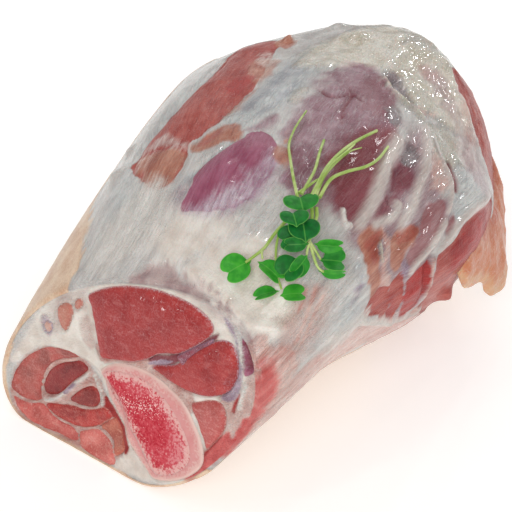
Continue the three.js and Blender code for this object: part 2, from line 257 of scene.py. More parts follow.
# Each tissue's patches on the leg: how clearly it shows (0 to 1), how soft its edge is (mm), and its
# outline as (x, angle). Later tissues lie over earlier ones. Cord has no patch, only ridges.
PATCHES = {
    "rind": [
        (1, 2, [(-25, 143), (20, 143), (35, 147), (48, 155), (60, 164), (76, 164), (92, 159), (107, 153),
                (122, 147), (136, 142), (150, 142), (170, 160), (184, 250), (172, 330), (150, 338),
                (70, 338), (-25, 336)]),
    ],
    "blue": [
        (0.9, 5, [(89, 111), (103, 109), (118, 107), (137, 106), (154, 105), (160, 99), (150, 94),
                  (116, 94), (100, 97), (83, 101), (82, 105)]),
        (1, 1.5, [(52, 117), (58, 114), (72, 107), (82, 103), (80, 100), (70, 104), (60, 110),
                  (50, 114)]),
        (0.7, 5, [(62, 146), (84, 139), (112, 131), (136, 127), (100, 130), (72, 140), (56, 138),
                  (44, 118), (38, 128), (46, 144)]),
        (0.8, 2, [(45, 117), (51, 114), (55, 112), (54, 108), (48, 109)]),
        (1, 2, [(61, 46), (62, 41), (61, 34), (57, 30), (55, 38)]),
        (0.8, 3, [(52, 38), (56, 35), (59, 26), (57, 16), (51, 13), (46, 26)]),
        (0.7, 3, [(139, 35), (149, 27), (144, 21), (130, 20), (112, 23), (111, 29), (118, 37),
                  (128, 42)]),
    ],
    "slate": [
        (0.8, 4, [(99, 107), (117, 106), (135, 105), (145, 101), (142, 97), (116, 100), (100, 104)]),
        (0.7, 1.5, [(93, 102), (104, 100), (114, 99), (127, 97), (114, 97), (102, 98)]),
        (0.7, 1.5, [(45, 117), (51, 114), (56, 111), (50, 112)]),
    ],
    "haze": [
        (1, 3, [(132, 61), (122, 65), (112, 65), (96, 66), (80, 62), (67, 58), (63, 50), (66, 30),
                (63, 20), (76, 0), (96, -4), (97, 20), (106, 24), (112, 30), (114, 40), (120, 50),
                (128, 56)]),
        # Painted sheen: a paler mauve-grey patch where light glances off the left end of the main belly.
        (0.7, 3, [(100, 92), (88, 91), (72, 89), (64, 82), (60, 74), (70, 70), (82, 80), (98, 84)]),
    ],
    "cream": [
        (1, 4, [(138, 100), (150, 104), (166, 104), (182, 100), (189, 90), (184, 82), (172, 80),
                (160, 78), (152, 84), (142, 92)]),
        (1, 3, [(166, 84), (180, 80), (186, 69), (183, 57), (178, 45), (166, 38), (155, 43), (148, 50),
                (147, 58), (142, 63), (145, 69), (154, 78)]),
        (0.8, 2.5, [(134, 61), (142, 58), (150, 48), (153, 36), (146, 31), (138, 37), (130, 42),
                    (121, 46), (125, 55)]),
        (0.8, 1.5, [(90, 113), (99, 112), (111, 110), (103, 110), (95, 110)]),
        (0.7, 2, [(111, 95), (120, 94), (120, 92), (108, 93)]),
    ],
    "fat": [
        (1, 4, [(25, 90), (30, 97), (40, 92), (46, 85), (46, 77), (43, 69), (40, 58), (34, 50), (26, 51),
                (23, 64), (23, 76)]),
        (0.9, 5, [(35, 116), (43, 113), (46, 100), (46, 89), (40, 90), (33, 96), (29, 106)]),
    ],
    "mauve_fat": [
        # Painted shade: a mauve strip in the groove behind the cut's upper rim, under the fold of fat.
        (1, 2, [(27, 112), (28, 96), (25, 84), (24, 74), (23, 64), (22, 54), (17, 54), (15, 80),
                (17, 112)]),
        (0.5, 2, [(40, 75), (43, 72), (38, 67), (35, 70)]),
        # Painted shade: darker mauve over the knee end's near side, where it turns from the light.
        (0.6, 4, [(134, 24), (150, 20), (160, 32), (168, 46), (176, 60), (170, 68), (160, 58), (150, 48),
                  (138, 40)]),
    ],
    "pink": [
        (1, 3, [(22, 56), (27, 50), (31, 40), (31, 30), (26, 16), (16, 0), (4, 0), (4, 20), (10, 40),
                (16, 50)]),
        (0.6, 5, [(28, 50), (36, 56), (46, 54), (48, 46), (40, 34), (30, 30)]),
        (0.9, 3, [(20, 24), (44, 20), (66, 8), (90, -6), (70, -16), (40, -10), (20, 0), (8, 6)]),
        (1, 1.5, [(77, 47), (78, 40), (75, 36), (71, 30), (73, 23), (71, 19), (67, 22), (68, 32),
                  (72, 40)]),
        (1, 2, [(77, -1), (86, -4), (95, -5), (101, -2), (118, -14), (148, -16), (150, -36), (134, -48),
                (104, -44), (86, -24), (78, -10)]),
        (0.8, 2, [(66, 4), (80, -3), (96, -10), (100, -22), (80, -12), (66, -4)]),
        (0.8, 2, [(122, 54), (127, 51), (122, 43), (114, 37), (110, 43), (114, 50)]),
        (0.7, 2, [(141, 67), (146, 63), (152, 56), (145, 59), (138, 62)]),
        (0.6, 3, [(164, 68), (170, 70), (174, 64), (168, 61)]),
        (0.6, 3, [(176, 52), (180, 46), (170, 36), (160, 34), (152, 40), (164, 44)]),
        (1, 1.5, [(69, 137), (73, 132), (74, 124), (71, 121), (69, 128)]),
    ],
    "veil": [
        (0.9, 1.5, [(81, 102), (88, 100), (99, 96), (93, 94), (86, 96)]),
        (1, 3, [(96, 93), (117, 92), (138, 92), (150, 90), (154, 84), (144, 78), (133, 72), (125, 69),
                (112, 66), (98, 64), (85, 61), (73, 59), (66, 61), (66, 70), (64, 79), (66, 87),
                (79, 90)]),
        (1, 2, [(99, 63), (106, 60), (109, 56), (104, 51), (95, 51), (91, 56)]),
        (0.9, 2, [(86, 57), (94, 54), (93, 47), (84, 46), (76, 51)]),
        (0.5, 2, [(50, 118), (56, 113), (55, 108), (47, 107), (45, 113)]),
        # Thinly laid, these two are painted shade, darkening the knee end where it turns from the light.
        (0.45, 4, [(134, 24), (146, 22), (152, 34), (150, 48), (142, 46), (134, 34)]),
        (0.3, 4, [(160, 50), (170, 54), (178, 64), (172, 70), (162, 62)]),
    ],
    "violet": [
        (1, 0.9, [(59, 111), (66, 108), (74, 103), (80, 100), (83, 96), (80, 92), (72, 90), (63, 90),
                  (54, 92), (49, 96), (46, 104), (46, 110), (54, 110)]),
    ],
    # Painted highlight: a lilac-white sheen on the spindle's lower side, where light catches it.
    "painted_sheen": [
        (0.85, 3, [(45, 106), (51, 101), (59, 96.5), (67, 93), (76, 92), (72, 89), (63, 89), (54, 91),
                   (48, 96)]),
    ],
    "dusk": [
        (1, 1.2, [(110, 39), (111, 35), (108, 31), (103, 28), (97, 25), (90, 22), (83, 22), (80, 27),
                  (85, 31), (90, 33), (95, 36), (101, 39)]),
        (0.8, 1.5, [(114, 29), (107, 26), (98, 20), (103, 20), (112, 24)]),
    ],
    "deep": [
        (1, 3, [(87, 81), (98, 79), (108, 76), (115, 71), (119, 68), (113, 64), (102, 63), (88, 61),
                (77, 57), (69, 56), (67, 65), (70, 74), (79, 78)]),
        (0.5, 4, [(142, 84), (147, 80), (138, 76), (130, 72), (119, 71), (114, 75), (125, 83)]),
        (0.8, 2.5, [(99, 61), (105, 59), (107, 56), (104, 51), (96, 51), (91, 56)]),
        (0.8, 1.5, [(88, 56), (94, 53), (92, 49), (84, 48), (75, 50), (72, 52), (80, 55)]),
    ],
    "meat": [
        (1, 0.8, [(63, 143), (71, 141), (77, 138), (88, 133), (102, 129), (114, 127), (144, 127),
                  (157, 124), (157, 117), (142, 112), (122, 109), (109, 110), (92, 113), (81, 117),
                  (73, 120), (66, 119), (58, 118), (52, 121), (53, 128), (57, 136)]),
        (1, 0.8, [(63, 23), (67, 24), (72, 19), (75, 11), (75, 4), (69, 7), (60, 16)]),
        (1, 0.8, [(80, 23), (80, 16), (81, 7), (82, 2), (81, -2), (78, 0), (75, 8), (72, 16), (75, 22)]),
        (1, 1, [(97, 18), (105, 19), (113, 20), (126, 22), (135, 21), (146, 20), (149, 12), (149, 0),
                (148, -18), (140, -30), (126, -30), (112, -20), (100, -8), (97, 1), (96, 8)]),
        (1, 1, [(183, 57), (189, 50), (192, 36), (191, 20), (186, 4), (174, -6), (160, 0), (157, 14),
                (158, 24), (164, 34), (173, 42), (179, 52)]),
    ],
    "stain": [
        (1, 2, [(63, 141), (67, 139), (68, 128), (69, 121), (66, 119), (58, 118), (52, 120), (53, 128),
                (57, 135)]),
        (0.9, 1.2, [(71, 120), (75, 117), (82, 113), (87, 109), (87, 105), (83, 103), (77, 102),
                    (73, 107), (69, 112), (68, 117)]),
        (0.7, 1.5, [(129, 116), (137, 115), (142, 109), (130, 106), (120, 108), (118, 111)]),
        (0.5, 1.5, [(94, 113), (106, 111), (118, 109), (108, 107), (96, 109)]),
        (1, 1, [(158, 119), (163, 117), (160, 113), (153, 112), (154, 116)]),
        (0.8, 1.2, [(73, 91), (78, 92), (81, 90), (76, 88), (71, 88)]),
        (1, 1, [(66, 51), (70, 52), (76, 50), (77, 46), (74, 42), (71, 42), (68, 36), (68, 31), (66, 25),
                (63, 23), (61, 32), (62, 41), (64, 47)]),
        (1, 1, [(83, 41), (89, 39), (92, 35), (89, 32), (84, 30), (79, 28), (75, 26), (73, 32),
                (77, 38)]),
    ],
    "bright": [
        (0.7, 2, [(107, 117), (112, 119), (121, 116), (122, 111), (112, 111), (107, 114)]),
        (0.5, 2, [(72, 117), (78, 114), (83, 110), (78, 108), (72, 113)]),
        (0.5, 2.5, [(68, 49), (74, 49), (76, 46), (72, 43), (68, 38), (65, 40)]),
        (0.45, 1.5, [(84, 40), (90, 39), (92, 35), (87, 33), (82, 33), (80, 36)]),
        (0.7, 1.5, [(79, 6), (81, 1), (79, -1), (76, 5), (73, 14), (76, 14)]),
        (1, 0.8, [(81, 16), (86, 18), (91, 19), (94, 18), (94, 12), (95, 3), (94, -3), (90, -6), (85, -1),
                  (82, 7)]),
        (0.9, 2.5, [(106, 16), (115, 19), (126, 20), (137, 17), (142, 4), (138, -6), (122, -2),
                    (108, 4)]),
    ],
    "silver": [
        (0.4, 3, [(138, 116), (147, 115), (145, 110), (134, 109), (133, 112)]),
        (0.75, 5, [(28, 139), (42, 138), (53, 131), (55, 123), (49, 115), (42, 111), (34, 116), (26, 124),
                   (21, 132)]),
        (0.8, 3, [(42, 25), (52, 20), (62, 18), (63, 12), (52, 10), (42, 14)]),
        (0.45, 2.5, [(71, 139), (75, 130), (73, 120), (68, 121), (69, 130), (67, 139)]),
        (0.4, 4, [(60, 160), (85, 152), (108, 140), (104, 134), (80, 144), (58, 148)]),
    ],
    "wet": [
        (1, 1.5, [(155, 79), (155, 75), (149, 71), (143, 66), (139, 66), (140, 71), (147, 77)]),
        (0.9, 1, [(117, 72), (128, 73), (130, 70), (124, 69), (117, 69)]),
        (1, 1.5, [(107, 62), (114, 64), (118, 60), (115, 56), (109, 57)]),
    ],
    "cord": [],
    "lilac": [
        (0.8, 1.2, [(80, 28), (83, 23), (81, 16), (78, 21)]),
        (0.6, 2, [(59, 43), (62, 40), (61, 35), (59, 30), (55, 30), (54, 36), (57, 39)]),
    ],
    "blood": [
        (0.9, 2.5, [(17, 40), (21, 44), (23, 34), (22, 27), (18, 20), (14, 12), (9, 2), (5, -8), (3, -14),
                    (3, -24), (0, -24), (4, 0), (12, 20), (15, 30)]),
    ],
}

# What shows on the knee end, where it was parted: as PATCHES, with outlines as (y, z).
END_START, END_FADE = 174, 12  # x from which it shows, and how gently it sets in (mm)
END_STRAY = 0.9  # how far a patch's edge strays there (mm)
END_PATCHES = {
    "cream": [
        (0.8, 4, [(-46, 60), (-30, 86), (0, 94), (40, 88), (66, 62), (70, 36), (52, 14), (20, 4),
                  (-20, 6), (-42, 24)]),
    ],
    "meat": [
        (1, 2, [(-40, 52), (-34, 68), (-20, 80), (-2, 86), (12, 80), (16, 66), (8, 54), (-8, 46),
                (-24, 42), (-36, 42)]),
        (1, 2, [(20, 82), (38, 78), (54, 66), (62, 50), (58, 36), (44, 30), (32, 38), (26, 54),
                (20, 68)]),
        (1, 2, [(-30, 34), (-12, 36), (6, 44), (20, 40), (30, 28), (38, 18), (26, 10), (4, 8), (-18, 12),
                (-32, 22)]),
    ],
    "stain": [
        (0.7, 3, [(-20, 74), (0, 78), (6, 68), (-8, 60), (-24, 62)]),
        (0.7, 3, [(34, 66), (48, 58), (50, 46), (40, 44), (34, 54)]),
    ],
}

# Raised cords and edges on the leg, and grooves: the tissue that shows there, if any, width and height in
# mm, and the line as (x, angle).
RIDGE_FADE = 0.12  # the share of its length over which a ridge sets in at either end
RIDGES = [
    ("fat", 2.2, 1.6, [(31, 100), (27, 88), (25, 76), (25, 64), (29, 54), (36, 51)]),
    ("cream", 1.8, 1.8, [(151, 80), (145, 78), (139, 75), (138, 70), (138, 65), (136, 60)]),
    ("cord", 2.8, 1.8, [(118, 66), (110, 65), (100, 64), (90, 61), (80, 58), (70, 56), (64, 55)]),
    ("cord", 2.3, 1.7, [(138, 61), (128, 58), (120, 54), (113, 51), (105, 48), (96, 44), (86, 42),
                        (80, 40)]),
    ("cord", 1.2, 1.0, [(134, 58), (128, 52), (124, 45), (118, 38), (112, 32), (107, 30)]),
    ("cord", 1.8, 0.9, [(94, 50), (86, 47), (79, 49), (72, 52)]),
    ("cord", 1.7, 1.0, [(146, 21), (139, 21), (126, 23), (113, 23), (103, 21), (97, 19)]),
    ("pink", 1.0, 0.6, [(97, 19), (94, 14), (95, 6), (98, -1)]),
    ("cord", 1.3, 1.2, [(79, 0), (83, -3), (90, -6), (97, -7), (101, -4)]),
    ("silver", 1.1, 1.2, [(70, 66), (67, 63), (66, 60), (68, 58)]),
    ("cord", 1.8, 1.0, [(110, 29), (103, 27), (95, 24), (87, 22), (83, 20), (81, 17)]),
    ("silver", 1.5, 1.3, [(57, 17), (63, 10), (70, 4), (77, 0), (84, -4)]),
    ("cream", 0.7, 0.5, [(73, 45), (72, 42), (70, 38), (70, 34)]),
    ("pink", 1.5, -0.5, [(46, 54), (41, 50), (35, 44), (30, 38)]),
    ("pink", 1.3, -0.5, [(47, 48), (42, 45), (37, 41), (32, 36)]),
    ("pink", 1.2, -0.4, [(38, 58), (41, 56), (35, 51)]),
    ("slate", 1.0, -0.9, [(82, 88), (75, 86), (69, 83), (65, 79)]),
    ("slate", 0.8, -0.9, [(88, 87), (81, 85), (77, 82), (70, 80)]),
    ("slate", 0.7, -0.7, [(80, 89), (76, 87), (70, 86), (66, 84)]),
    ("deep", 0.6, -0.7, [(122, 91), (119, 88), (125, 84), (122, 80)]),
    ("deep", 0.6, -0.6, [(132, 86), (124, 84), (114, 84), (104, 82)]),
    ("dusk", 1.2, -1.0, [(130, 46), (124, 40), (118, 34)]),
    ("stain", 0.7, 0.5, [(80, 90), (86, 91), (93, 91)]),
    (None, 2.4, -2.4, [(154, 78), (149, 73), (144, 69), (141, 67)]),
    (None, 2.6, -1.8, [(104, 61), (100, 57), (94, 54), (86, 51)]),
    (None, 2.0, -1.4, [(118, 61), (112, 59), (107, 59)]),
    (None, 1.3, -1.2, [(46, 113), (52, 112), (59, 112), (66, 109), (74, 104), (81, 100)]),
    (None, 1.5, -1.2, [(60, 142), (71, 142), (88, 134), (102, 130), (120, 127), (140, 127)]),
    (None, 1.5, -1.0, [(56, 117), (68, 119), (80, 117), (92, 113), (110, 110), (124, 108)]),
    (None, 2.2, -1.6, [(22, 60), (23, 74), (25, 88), (27, 102), (26, 116)]),
    (None, 1.2, -1.2, [(97, 22), (92, 17), (92, 8), (95, -2)]),
]

# Swellings and hollows of single muscles and lobes: x, angle, twist (degrees for each mm along), reach along
# and across (mm), height (mm).
SWELLS = [
    (64, 101, -0.35, 18, 9, 2.6),  # spindle along the top
    (100, 122, -0.2, 40, 9, 1.6),  # long muscle
    (147, 123, 0, 13, 7, 2.4),  # its upper end
    (59, 128, 0, 9, 9, 1.2),  # its lower end
    (79, 109, -0.6, 9, 4, 1.0),  # slip beside it
    (161, 116, 0, 3, 2.5, 2.6),  # nub of fat at its tip
    (178, 112, 0, 3.5, 3.5, 2.2),
    (63, 153, 0, 4, 4, 1.8),
    (76, 152, 0, 3.5, 3.5, 1.6),
    (130, 29, -0.7, 17, 9, 2.8),  # pale lobe at the knee
    (116, 8, -0.1, 22, 9, 1.6),  # muscle on the near side
    (86, 6, -0.5, 8, 7, 1.2),
    (66, 42, 0.6, 9, 5, 1.2),
    (99, 34, 0.5, 11, 5, 1.4),
    (120, 72, 0.2, 14, 6, 1.5),
    (72, 60, 0, 12, 7, -1.6),  # hollow below the main belly
    (120, -13, 0, 3, 3.5, 3.5),
    (182, 60, 0, 5, 5, 1.5),
    (44, 66, 0, 10, 12, 1.4),  # fat above the cut
    (172, 97, 0, 4, 4, 2.2),
]

# How each tissue stands, in mm: its lift, and the height of its streaks along the leg, of its lumps and of
# its wrinkles.
STANDING = {
    "rind": (0.4, 0.03, 0.15, 0),
    "blue": (-0.1, 0.25, 0.3, 0.2),
    "slate": (-0.3, 0.2, 0.3, 0.2),
    "haze": (-0.1, 0.25, 0.3, 0.2),
    "cream": (0.4, 0.15, 0.7, 0.3),
    "fat": (0.5, 0.08, 0.4, 0.25),
    "mauve_fat": (-0.3, 0.05, 0.2, 0.1),
    "pink": (0, 0.3, 0.4, 0.2),
    "veil": (0.1, 0.15, 0.2, 0.3),
    "violet": (0.1, 0.1, 0.1, 0.12),
    "painted_sheen": (0.2, 0.15, 0.15, 0.35),
    "dusk": (-0.5, 0.15, 0.2, 0.1),
    "cord": (0.1, 0.2, 0.2, 0.1),
    "deep": (-0.2, 0.15, 0.2, 0.15),
    "meat": (-0.7, 0.3, 0.3, 0),
    "stain": (-0.1, 0.2, 0.35, 0.1),
    "bright": (-0.6, 0.3, 0.4, 0.1),
    "silver": (0.2, 0.15, 0.3, 0.2),
    "wet": (-0.6, 0.2, 0.7, 0.6),
    "lilac": (0, 0.1, 0.2, 0),
    "blood": (-0.2, 0.1, 0.3, 0),
}
TISSUES = list(PATCHES)
STRAY = 0.9  # how far either of two noises moves a patch's edge, for each mm of its softness
MOST_STRAY = 2  # softness (mm) past which it moves no further


def laid_flat(middle, x, angle):
    """How far places lie from the middle one, in mm along the leg and round it."""
    edge = skin(middle[0], middle[1] + 0.5) - skin(middle[0], middle[1] - 0.5)
    return np.stack([x - middle[0], turned(angle, middle[1]) * np.linalg.norm(edge)], -1)


def ridge(gap, run, width, fade):
    """How fully a ridge stands this far from its line, and this share of the way along it."""
    return np.exp(-((gap / width) ** 2)) * smooth(0, fade, run) * smooth(0, fade, 1 - run)


def paint(points, x, angle, place):
    """How much of each tissue shows at each point of the leg, from 0 to 1, and what the ridges lift."""
    shows = {name: np.zeros(len(x)) for name in TISSUES}
    lift = np.zeros(len(x))
    ragged = lumps(points, (9, 1.6, 1.6), 3) * STRAY + lumps(points, 5, 4) * STRAY

    for name, patches in PATCHES.items():
        for show, soft, outline in patches:
            middle = np.mean(outline, axis=0)
            line, at = laid_flat(middle, *np.transpose(outline)), laid_flat(middle, x, angle)
            margin = 2 * soft + 4
            near = ((at > line.min(0) - margin) & (at < line.max(0) + margin)).all(-1) & place
            depth = depth_inside(rounded(line), at[near]) + ragged[near] * min(soft, MOST_STRAY)
            shows[name][near] = np.maximum(shows[name][near], show * smooth(-soft, soft, depth))
    for name, width, height, route in RIDGES:
        middle = np.mean(route, axis=0)
        line, at = laid_flat(middle, *np.transpose(route)), laid_flat(middle, x, angle)
        near = ((at > line.min(0) - 4 * width) & (at < line.max(0) + 4 * width)).all(-1) & place
        gap, run = gap_to_line(rounded(line, closed=False), at[near])
        body = ridge(gap, run, width, RIDGE_FADE)
        lift[near] += height * body
        if name:
            shows[name][near] = np.maximum(shows[name][near], body)
    for at_x, at_angle, twist, along, across, height in SWELLS:
        at = laid_flat((at_x, at_angle), x, angle - twist * (x - at_x))
        lift += height * np.exp(-((at / (along, across)) ** 2).sum(-1)) * place
    return shows, lift


# --- what the saw laid open -----------------------------------------------------------------------------

# The pieces that show on the cut. node is the solid that a piece takes the place of, where it has one, and
# depth how far it runs into the leg. Its dome and lift are how far it swells out of the cut, all in mm. Its
# colours are its own: middle, dark, pale, and that of the thin sheath round it. Outlines are on the cut, as
# (y, z). The bone's core has no lift of its own, as it lies level with the bone.
CUTS = {
    "upper_muscle": dict(
        node="upper_muscle", depth=105, dome=1.6, lift=0.4,
        colours=("#A02E2E", "#922426", "#C27470", "#D0A8AA"),
        outline=[(31.5, 57), (27, 61), (20, 65), (12, 68), (4, 70), (-4, 70.8), (-11, 70.8), (-17, 69.5),
                 (-20.5, 67.5), (-21.3, 64.5), (-19, 60.8), (-14, 55.8), (-9.5, 52), (-2, 48.8),
                 (2.5, 45), (8, 41.8), (15, 39.4), (21.5, 37.6), (24, 42), (27, 48), (29.5, 53.5)]),
    "side_muscle": dict(
        node="side_muscle", depth=95, dome=1.6, lift=0.3,
        colours=("#A63232", "#922426", "#C06A64", "#C8A4AC"),
        outline=[(-22.5, 62.5), (-27, 64.5), (-30.5, 63.5), (-33.2, 59), (-33.8, 54), (-32.3, 49),
                 (-28.5, 45.2), (-22.5, 42.3), (-15.5, 41), (-9, 41.3), (-3, 42.3), (1, 43), (-1.5, 45.3),
                 (-8.5, 48.4), (-12.5, 52.3), (-16.5, 57)]),
    "small_muscle": dict(
        node="small_muscle", depth=60, dome=0.9, lift=0,
        colours=("#B85A56", "#A84A46", "#D49A92", "#DCB0A8"),
        outline=[(-17.5, 37.5), (-21, 40.5), (-25.5, 43), (-29.5, 43.5), (-32, 41), (-33, 37),
                 (-32, 32.5), (-29, 27), (-27, 24.5), (-24.5, 28), (-21, 32.5)]),
    "front_slip": dict(
        node="front_slip", depth=50, dome=0.5, lift=0,
        colours=("#B87E6C", "#9C6456", "#CCA494", "#DCCAC0"),
        outline=[(44.6, 46.6), (42, 50.2), (38, 51.2), (36.4, 48.3), (36.7, 45.2), (38.6, 40.2),
                 (42.2, 41.8)]),
    "second_slip": dict(
        node=None, depth=30, dome=0.4, lift=0,
        colours=("#B9806F", "#A0685A", "#CB9C8C", "#E0CEC4"),
        outline=[(37.2, 53), (34.4, 54.9), (32.6, 53.4), (34, 50.4), (36.6, 49.6)]),
    "calf_outer": dict(
        node="calf_outer", depth=100, dome=0.5, lift=0,
        colours=("#AE5850", "#8E403A", "#CC948A", "#CC9488"),
        outline=[(60, 9.5), (60.5, 13.5), (59.5, 18), (57, 22.5), (52.5, 27), (47, 31), (41, 33.2),
                 (35.5, 34), (32, 33), (36, 30.7), (42, 27.5), (46, 23.5), (48, 18), (48, 13),
                 (47.2, 9.5), (53, 7.2)]),
    "calf_deep": dict(
        node="calf_deep", depth=90, dome=0.8, lift=-1.0,
        colours=("#8C2C2C", "#701E20", "#A85850", "#B07068"),
        outline=[(33, 31.5), (28.3, 30), (30, 26.5), (34, 22), (37.5, 17), (40.5, 13.7), (45.5, 12),
                 (48.3, 14), (47.8, 18.5), (45.8, 22.7), (41.5, 27), (36, 30)]),
    "calf_inner": dict(
        node="calf_inner", depth=70, dome=0.9, lift=-0.6,
        colours=("#983430", "#7C2422", "#B4645A", "#B87C72"),
        outline=[(29.5, 22.5), (25, 25), (21.5, 23.5), (20.8, 20.5), (22.5, 17.5), (27, 15.6), (32, 14.8),
                 (35, 15), (33.2, 18.2)]),
    "calf_lower": dict(
        node="calf_lower", depth=100, dome=1.2, lift=0.2,
        colours=("#B23A34", "#902422", "#D08478", "#DCA296"),
        outline=[(43.5, 10.3), (37.5, 12.3), (33, 14), (27.5, 15), (22, 17.5), (18, 19.8), (14.5, 18),
                 (17.5, 14.5), (21, 11), (26, 8.2), (31, 6.9), (37, 6.5), (41.5, 7.3), (45, 8.7)]),
    "calf_outer_fold": dict(
        node="calf_lower", depth=80, dome=0.7, lift=-0.3,
        colours=("#CC6A62", "#B2504A", "#DEA69A", "#E2B0A4"),
        outline=[(59, 7.8), (57, 4.2), (52, 1.4), (45, 0.8), (36, 0.8), (29, 1.4), (28.3, 3.6), (31, 6.1),
                 (37, 5.9), (42, 7), (46.5, 8.7), (52.5, 6.6)]),
    "calf_inner_fold": dict(
        node="calf_lower", depth=80, dome=0.7, lift=-0.2,
        colours=("#DA7E74", "#C25C54", "#E8B4A8", "#E4B6AA"),
        outline=[(28.2, 5.5), (25, 7.8), (20.5, 10.3), (16.5, 9.7), (12, 7.7), (8.5, 5), (9.5, 1.8),
                 (14.5, 0.9), (21, 0.8), (26, 1), (27.6, 2.8)]),
    "calf_tendon": dict(
        node="calf_lower", depth=80, dome=0.5, lift=-0.6,
        colours=("#BC6C56", "#A24A3C", "#D8A288", "#C8705E"),
        outline=[(14.5, 17.6), (12.6, 18.2), (9, 14.8), (4.8, 10.8), (5, 9), (7.5, 6.2), (9.3, 5.4),
                 (12, 8), (16.5, 10.2), (20, 11), (17.3, 14.4)]),
    "round_tendon": dict(
        node="round_tendon", depth=50, dome=0.5, lift=0.2,
        colours=("#CDB5A4", "#B0968C", "#DCCEC2", "#B4AABC"),
        outline=[(49.3, 39.2), (47.9, 41.3), (45.5, 41.1), (44.5, 39), (45.5, 37), (47.8, 36.9)]),
    "seam_film": dict(
        node=None, depth=6, dome=0.5, lift=0.7,
        colours=("#6C4256", "#421A30", "#C8B4C0", "#8E6A7C"),
        outline=[(-9, 51.2), (-11.6, 54), (-15, 57.2), (-18.3, 60), (-21, 62.6), (-22.4, 63),
                 (-21.3, 60.3), (-18, 57), (-15.4, 53.4), (-14.5, 50.2), (-14.3, 47.9), (-12.2, 48.5)]),
    "shin_bone": dict(
        node="shin_bone", depth=140, dome=0, lift=0.7,
        colours=("#DAB0A8", "#D29A94", "#E2C2B8", "#E8D0C6"),
        outline=[(21, 33.5), (18, 36.8), (13, 39.5), (7, 41), (2, 41.3), (-3.5, 40.7), (-8, 39.6),
                 (-13, 38), (-17, 35.8), (-21, 31.6), (-24, 28), (-26.3, 24), (-27, 19.5), (-24.5, 15),
                 (-20, 10.6), (-14, 7), (-8.5, 5.4), (-4.5, 7.5), (-0.5, 10), (5, 14.3), (10, 18.3),
                 (14.5, 22), (18.5, 26), (20.5, 30)]),
    "bone_core": dict(
        node="bone_core", depth=128, dome=0,
        colours=("#C43E4A", "#B41A2E", "#D27C80", "#DCAAA4"),
        outline=[(19, 33.4), (15.5, 35.7), (9.5, 37.3), (4.5, 38.2), (0, 37.8), (-5, 36.4), (-9.5, 34.2),
                 (-13.5, 31.4), (-17.3, 28), (-20.3, 24), (-22, 19.5), (-20.5, 15.5), (-16.8, 11.4),
                 (-12.5, 8.6), (-8.8, 8), (-5.3, 10), (-1.3, 14), (3, 18), (7.6, 21), (11.6, 23.4),
                 (16, 26.6), (18.6, 30)]),
}

# Where red marrow lies thick in the bone: y, z, reach, redness.
MARROW_SPOTS = [(15, 31, 5, 1), (9, 29, 5, 0.8), (-1.5, 30.5, 3.5, 0.9), (-3, 24.5, 6, 0.9), (3, 26, 5, 0.8),
                (-1, 19.5, 4.5, 0.8), (-8, 20, 5.5, 0.8), (-7, 27, 5, 0.6), (-10.5, 10.5, 4, 1)]
# White specks, painted as small glints, lie thickest on a slanting line through this place.
GLINT_LINE = dict(y=-6, z=33, fall=0.45, reach=5)

